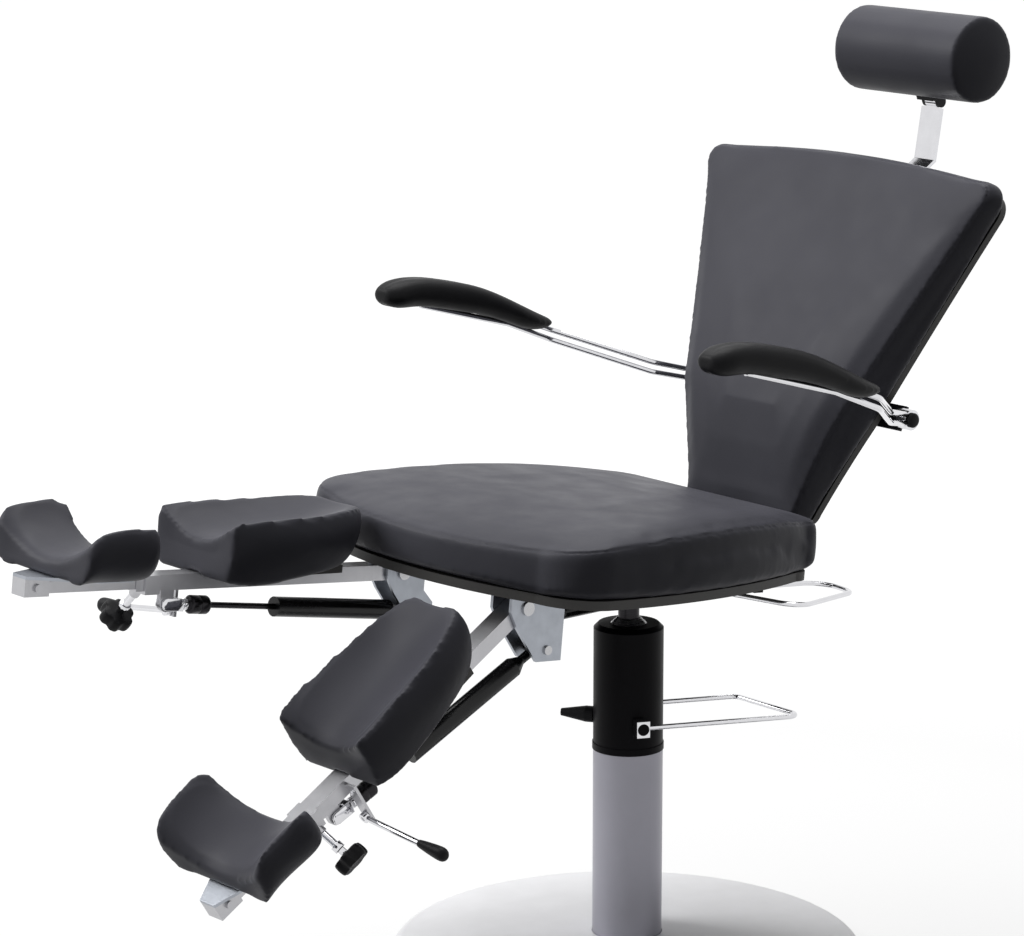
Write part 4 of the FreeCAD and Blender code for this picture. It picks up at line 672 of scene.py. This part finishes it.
def upholster(looks: Finishes) -> None:
    """Makes every cushion of the chair.

    Args:
        looks: the chair's finishes.
    """
    cushions = [
        Cushion("seat_pad", "seat", looks.vinyl, SEAT_ORIGIN, SEAT_TURN, evening=6),
        Cushion("back_pad", "backrest", looks.vinyl, BACK_ORIGIN, BACK_TURN,
                up=(0.0, -1.0, 0.0), held_below=-41.0),
        Cushion("headrest_roll", "headrest", looks.vinyl, ROLL_ORIGIN, 0.0, up=(1.0, 0.0, 0.0),
                held_below=-200.0, voxel=4.0, seam_depth=0.0)]
    for side in Side:
        tag = side.value
        cushions.append(Cushion(f"calf_pad_{tag}", f"leg_{tag}", looks.vinyl, LEG_ORIGINS[side],
                                LEG_TURNS[side], held_below=20.5, voxel=4.0, cap=4.0,
                                softening=4, seam_depth=0.3))
        cushions.append(Cushion(f"heel_cup_{tag}", f"leg_extension_{tag}", looks.vinyl,
                                LEG_ORIGINS[side], LEG_TURNS[side], held_below=15.8, voxel=4.0,
                                cap=4.0, softening=4, seam_depth=0.3))
    for cushion in cushions:
        cushion.build()


@dataclass
class GasStrut:
    """A lockable gas spring's rod end: nitrided rod, black release head, chromed fork."""

    node: str
    body: str
    top: tuple[float, float, float]
    pin: tuple[float, float, float]
    looks: Finishes
    rod: float = 4.0
    head: float = 12.0
    head_length: float = 30.0
    head_end: float = 36.0
    neck: float = 6.0
    fork_back: float = 24.0
    fork_web: float = 9.0
    fork_half: float = 8.0
    ear_in: float = 4.5
    ear_out: float = 8.5
    ear_over: float = 1.5
    # Rise and width of the ear's rounded end, as shares of the fork's half width
    ear_round: tuple[tuple[float, float], ...] = ((0.5, 0.85), (0.32, 0.55))
    collar: float = 1.6
    rod_seen: float = 250.0

    def place(self) -> Matrix:
        """Returns the frame at the upper pin, with Z along the rod and X across the chair."""
        way = (Vector(self.pin) - Vector(self.top)).normalized()
        across = Vector((1.0, 0.0, 0.0))
        turn = Matrix((across, way.cross(across), way)).transposed().to_4x4()
        return Matrix.Translation(Vector(self.top) * MM) @ turn

    def build(self) -> None:
        """Makes the rod with its head, and the fork."""
        length = (Vector(self.pin) - Vector(self.top)).length
        start = length - self.head_end - self.head_length
        shaft = lathe(self.node + "_shaft", [
            (length - self.rod_seen, self.rod), (start, self.rod), (start + 0.2, self.head - 3),
            (start + 2, self.head - 0.8), (start + 3.5, self.head),
            (start + self.head_length * 0.45, self.head),
            (start + self.head_length * 0.5, self.head - 1),
            (start + self.head_length * 0.55, self.head),
            (length - self.head_end - 2, self.head), (length - self.head_end, self.head - 2.5)])
        bevel(shaft, 0.4)
        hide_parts(self.node)
        settle(shaft, self.place(), self.looks.nitride, self.body)
        neck = lathe(self.node + "_neck", [
            (length - self.head_end - 0.5, self.neck), (length - self.head_end + 4, self.neck),
            (length - self.head_end + 4.1, self.neck + self.collar),
            (length - self.head_end + 9, self.neck + self.collar),
            (length - self.head_end + 9.1, self.neck),
            (length - self.fork_back + 1, self.neck)], sides=24)
        bevel(neck, 0.3)
        settle(neck, self.place(), self.looks.chrome, self.body)
        self.build_fork(length)

    def build_fork(self, length: float) -> None:
        """Bends the fork from one strip and rounds the ends of its ears.

        Args:
            length: distance from the upper pin to the lower one.
        """
        bpy.ops.object.select_all(action="DESELECT")
        middle = length - self.fork_back + self.fork_web / 2
        bpy.ops.mesh.primitive_cube_add(size=1.0, location=(0.0, 0.0, middle * MM), scale=(
            2 * self.ear_in * MM, 2 * self.fork_half * MM, self.fork_web * MM))
        fork = bpy.context.object
        fork.name = self.node + "_fork"
        bpy.ops.object.transform_apply(location=True, rotation=True, scale=True)
        bpy.ops.object.mode_set(mode="EDIT")
        for sign in (-1, 1):
            self.pick(fork, lambda face: face.normal.x * sign > 0.9 and
                      abs(face.calc_center_median().x) < (self.ear_in + 0.1) * MM)
            step = (sign * (self.ear_out - self.ear_in) * MM, 0.0, 0.0)
            bpy.ops.mesh.extrude_region_move(TRANSFORM_OT_translate={"value": step})
            self.pick(fork, lambda face: face.normal.z > 0.9 and
                      face.calc_center_median().x * sign > self.ear_in * MM)
            reach = (length + self.ear_over - (middle + self.fork_web / 2)) * MM
            bpy.ops.mesh.extrude_region_move(
                TRANSFORM_OT_translate={"value": (0.0, 0.0, reach)})
            for rise, width in self.ear_round:
                bpy.ops.mesh.extrude_region_move(
                    TRANSFORM_OT_translate={"value": (0.0, 0.0, self.fork_half * rise * MM)})
                bpy.ops.transform.resize(value=(1.0, width, 1.0),
                                         center_override=(0.0, 0.0, 0.0))
        bpy.ops.object.mode_set(mode="OBJECT")
        bevel(fork, 0.7)
        settle(fork, self.place(), self.looks.chrome, self.body)

    @staticmethod
    def pick(piece: bpy.types.Object, chosen: object) -> None:
        """Selects the faces of a piece in edit mode that a test chooses."""
        bpy.ops.mesh.select_mode(type="FACE")
        bpy.ops.mesh.select_all(action="DESELECT")
        work = bmesh.from_edit_mesh(piece.data)
        for face in work.faces:
            if chosen(face):
                face.select_set(True)
        bmesh.update_edit_mesh(piece.data)


@dataclass
class LegRest:
    """The small pieces of one leg rest: clamp knob, the grip of the release lever and the gas
    strut's rod end.
    """

    side: Side
    looks: Finishes
    knob_at: float = 398.0
    knob_tilt: float = 45.0
    stem_start: float = 28.3
    stem_end: float = 66.0
    stem_radius: float = 5.0
    lever_x: float = 26.0
    lever_at: float = 341.5
    lever_drop: float = 44.0
    lever_slope: float = 8.0
    lever_reach: float = 106.0
    # Distance past the rod's end and radius of each step of the grip
    grip: tuple[tuple[float, float], ...] = (
        (-10.0, 4.4), (-6.0, 5.2), (4.0, 6.6), (18.0, 8.2), (30.0, 9.2), (35.0, 8.8),
        (39.0, 6.4), (40.0, 2.4))
    grip_flat: tuple[float, float] = (0.95, 1.1)
    stud_nut: float = 2.6
    strut_top: tuple[float, float] = (-267.743, 511.958)
    lug: tuple[float, float] = (364.0, -30.0)

    def across(self) -> int:
        """Returns 1 for the sitter's left and -1 for the right."""
        return 1 if self.side is Side.LEFT else -1

    def build(self) -> None:
        """Makes the pieces in order."""
        self.build_knob()
        self.build_lever()
        tag = self.side.value
        origin = Vector(LEG_ORIGINS[self.side])
        turn = Matrix.Rotation(radians(LEG_TURNS[self.side]), 3, "X")
        pin = origin + turn @ Vector((0.0, -self.lug[0], self.lug[1]))
        top = (origin.x, self.strut_top[0], self.strut_top[1])
        GasStrut(f"leg_spring_rod_{tag}", f"leg_strut_rod_{tag}", top, tuple(pin),
                 self.looks).build()

    def build_knob(self) -> None:
        """Makes the star knob and its chromed stud."""
        tag = self.side.value
        tilt = radians(self.knob_tilt)
        way = Vector((self.across() * sin(tilt), 0.0, -cos(tilt)))
        spot = Vector((0.0, -self.knob_at, 0.0))
        origin, turn = LEG_ORIGINS[self.side], LEG_TURNS[self.side]
        knob = StarKnob().build(f"clamp_knob_{tag}")
        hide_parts(f"leg_knob_{tag}")
        settle(knob, stand(origin, turn, tuple(spot + way * self.stem_end), tuple(way)),
               self.looks.plastic, f"leg_clamp_{tag}")
        reach = self.stem_end - self.stem_start
        stud = lathe(f"clamp_stud_{tag}", [
            (0.0, self.stem_radius), (reach * 0.55, self.stem_radius),
            (reach * 0.56, self.stem_radius + self.stud_nut),
            (reach * 0.78, self.stem_radius + self.stud_nut),
            (reach * 0.79, self.stem_radius), (reach + 1.0, self.stem_radius)], sides=24)
        bevel(stud, 0.4)
        settle(stud, stand(origin, turn, tuple(spot + way * self.stem_start), tuple(way)),
               self.looks.chrome, f"leg_clamp_{tag}")

    def build_lever(self) -> None:
        """Makes the black flattened grip of the release lever's chromed rod."""
        tag = self.side.value
        slope = radians(self.lever_slope)
        way = (self.across() * cos(slope), 0.0, -sin(slope))
        spot = (self.across() * self.lever_x, -self.lever_at, -self.lever_drop)
        place = stand(LEG_ORIGINS[self.side], LEG_TURNS[self.side], spot, way)
        grip = lathe(f"lever_grip_{tag}",
                     [(self.lever_reach + past, radius) for past, radius in self.grip],
                     sides=24)
        only(grip)
        bpy.ops.object.mode_set(mode="EDIT")
        bpy.ops.mesh.select_all(action="SELECT")
        bpy.ops.transform.resize(value=(*self.grip_flat, 1.0),
                                 center_override=(0.0, 0.0, 0.0))
        bpy.ops.object.mode_set(mode="OBJECT")
        soft = grip.modifiers.new("round", "SUBSURF")
        soft.levels = 1
        soft.render_levels = 1
        apply_modifiers(grip)
        settle(grip, place, self.looks.plastic, f"leg_trigger_{tag}", angle=60.0)


@dataclass
class Armrest:
    """One armrest: the moulded pad and the caps of its hub."""

    side: Side
    looks: Finishes
    hub: tuple[float, float, float] = (208.0, 318.0, 742.0)
    hub_radius: float = 10.0
    pad_x: float = 322.0

    def build(self) -> None:
        """Makes the pad and the hub's cap."""
        tag = self.side.value
        sign = 1 if self.side is Side.LEFT else -1
        Cushion(f"arm_pad_{tag}", f"arm_{tag}", self.looks.skin,
                (sign * self.pad_x, 0.0, 0.0), 0.0, held_below=-1.0, voxel=3.0, cap=1.0,
                start_in=0.5, seam_depth=0.0, fill=0.95).build()
        cap = lathe(f"arm_cap_{tag}", [
            (0.2, self.hub_radius - 1), (1.4, self.hub_radius), (3.0, self.hub_radius),
            (5.0, self.hub_radius - 1.6), (6.0, self.hub_radius - 4.5)], sides=36)
        bevel(cap, 0.5)
        place = stand((sign * self.hub[0], self.hub[1], self.hub[2]), 0.0, (0.0, 0.0, 0.0),
                      (float(sign), 0.0, 0.0))
        settle(cap, place, self.looks.plastic, f"arm_{tag}")


@dataclass
class Studio:
    """Pale floor, soft lamps and the camera of the photograph."""

    eye: tuple[float, float, float] = (3.8698, -3.4506, 1.7967)
    turn: float = 50.0
    pitch: float = 12.09
    lens: float = 140.68
    floor_size: float = 40.0
    soft_light: float = 0.06
    # Name, middle, side and watts of each lamp
    lamps: tuple[tuple[str, tuple[float, float, float], float, float], ...] = (
        ("key", (-2.6, -3.0, 3.4), 2.6, 175.0), ("top", (-0.6, 0.4, 4.2), 3.0, 150.0))
    aim: tuple[float, float, float] = (0.0, -0.1, 0.6)
    # The floor's own white by the chair and past its shadow, and how far off each is reached
    floor_white: tuple[float, float] = (0.8, 1.0)
    floor_reach: tuple[float, float] = (1.2, 3.4)

    def build(self) -> None:
        """Makes the floor, the world, the lamps and the camera."""
        scene = bpy.context.scene
        scene.view_settings.view_transform = "Standard"
        data = bpy.data.cameras.new("photo_camera")
        data.lens = self.lens
        data.sensor_width = 36.0
        data.clip_end = 60.0
        camera = bpy.data.objects.new("photo_camera", data)
        camera.location = self.eye
        camera.rotation_euler = (radians(90 - self.pitch), 0.0, radians(self.turn))
        scene.collection.objects.link(camera)
        scene.camera = camera
        self.light_world(scene)
        self.lay_floor()
        for name, place, size, power in self.lamps:
            self.hang_lamp(name, place, size, power)

    def light_world(self, scene: bpy.types.Scene) -> None:
        """Makes the world: white to the eye, to gloss and through glass, gentle as light.

        Args:
            scene: the scene that gets the world.
        """
        world = bpy.data.worlds.new("studio_world")
        world.use_nodes = True
        tree = world.node_tree
        tree.nodes.clear()
        soft = add_node(tree, "Background", Color=(0.96, 0.97, 1.0, 1.0),
                        Strength=self.soft_light)
        white = add_node(tree, "Background", Color=(1.0, 1.0, 1.0, 1.0), Strength=1.0)
        mixed = add_node(tree, "MixShader", {0: self.looked_at(tree), 1: soft.outputs[0],
                                             2: white.outputs[0]})
        add_node(tree, "OutputWorld", {"Surface": mixed.outputs[0]})
        scene.world = world

    @staticmethod
    def looked_at(tree: bpy.types.NodeTree) -> bpy.types.NodeSocket:
        """Tells rays that show a thing, directly or in gloss or glass, from rays of light.

        Args:
            tree: the tree that gets the nodes.

        Returns:
            A socket that is 1 for the eye, for gloss and for glass.
        """
        ray = add_node(tree, "LightPath")
        direct = add_node(tree, "Math", {0: ray.outputs["Is Camera Ray"],
                                         1: ray.outputs["Is Glossy Ray"]},
                          operation="MAXIMUM")
        seen = add_node(tree, "Math", {0: direct.outputs[0],
                                       1: ray.outputs["Is Transmission Ray"]},
                        operation="MAXIMUM")
        return seen.outputs[0]

    def lay_floor(self) -> None:
        """Makes the pale floor: white to the eye, and still with the chair's shadow."""
        bpy.ops.object.select_all(action="DESELECT")
        bpy.ops.mesh.primitive_plane_add(size=self.floor_size)
        floor = bpy.context.object
        floor.name = "studio_floor"
        material, tree, shader = new_material("floor_white")
        shader.inputs["Base Color"].default_value = linear("#777777")
        shader.inputs["Roughness"].default_value = 0.8
        shader.inputs["Specular IOR Level"].default_value = 0.0
        floor.data.materials.append(material)
        place = add_node(tree, "TexCoord").outputs["Object"]
        far = add_node(tree, "VectorMath", {0: place}, operation="LENGTH")
        # Past the chair's shadow the floor turns white by itself, as a swept backdrop does
        paler = spread(tree, far.outputs["Value"], *self.floor_white, *self.floor_reach)
        glow = add_node(tree, "Emission", {"Strength": paler}, Color=(1.0, 1.0, 1.0, 1.0))
        summed = add_node(tree, "AddShader", {0: shader.outputs[0], 1: glow.outputs[0]})
        mixed = add_node(tree, "MixShader", {0: self.looked_at(tree), 1: shader.outputs[0],
                                             2: summed.outputs[0]})
        out = next(n for n in tree.nodes if n.type == "OUTPUT_MATERIAL")
        tree.links.new(mixed.outputs[0], out.inputs["Surface"])

    def hang_lamp(self, name: str, place: tuple[float, float, float], size: float,
                  power: float) -> None:
        """Hangs a square soft lamp that faces the chair.

        Args:
            name: the lamp's name.
            place: its middle.
            size: its side.
            power: its watts.
        """
        data = bpy.data.lights.new(name, "AREA")
        data.size = size
        data.energy = power
        lamp = bpy.data.objects.new(name, data)
        lamp.location = place
        aim = Vector(self.aim) - Vector(place)
        lamp.rotation_euler = aim.to_track_quat("-Z", "Y").to_euler()
        bpy.context.scene.collection.objects.link(lamp)


def dress_frame(looks: Finishes) -> None:
    """Gives each CAD node that stays its finish.

    Args:
        looks: the chair's finishes.
    """
    dress(looks.rubber, "floor_ring")
    dress(looks.iron, "base_plate")
    dress(looks.cover, "base_cover")
    dress(looks.column, "column_tube")
    dress(looks.collar, "pump_housing", "upper_sleeve")
    dress(looks.zinc, "base_bolts", "pump_cylinder", "piston_bush", "pivot_pins")
    dress(looks.plastic, "brake_knob", "release_bearings", "headrest_knob")
    dress(looks.chrome, "pump_pedal", "pedal_clamps", "release_handle", "headrest_stem")
    dress(looks.nitride, "piston_rod", "back_spring_rod")
    dress(looks.frame_black, "seat_hub", "seat_frame", "back_frame", "headrest_guide",
          "headrest_saddle")
    dress(looks.board, "seat_board", "back_board")
    dress(looks.vinyl, "seat_pad", "back_pad", "headrest_roll")
    dress(looks.strut, "back_spring_cylinder")
    for side in Side:
        tag = side.value
        dress(looks.chrome, f"arm_bars_{tag}", f"leg_lever_{tag}")
        dress(looks.skin, f"arm_pad_{tag}")
        dress(looks.bracket, f"leg_bracket_{tag}", f"heel_plate_{tag}")
        dress(looks.tube, f"leg_tube_{tag}", f"leg_slide_{tag}")
        dress(looks.board, f"calf_board_{tag}")
        dress(looks.vinyl, f"calf_pad_{tag}", f"heel_cup_{tag}")
        dress(looks.plastic, f"leg_knob_{tag}")
        dress(looks.strut, f"leg_spring_cylinder_{tag}")
        dress(looks.nitride, f"leg_spring_rod_{tag}")


def main() -> None:
    """Builds the chair's looks, sub-assembly by sub-assembly."""
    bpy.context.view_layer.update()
    looks = Finishes()
    dress_frame(looks)
    upholster(looks)
    for side in Side:
        LegRest(side, looks).build()
        Armrest(side, looks).build()
    Studio().build()


if __name__ == "__main__":
    main()
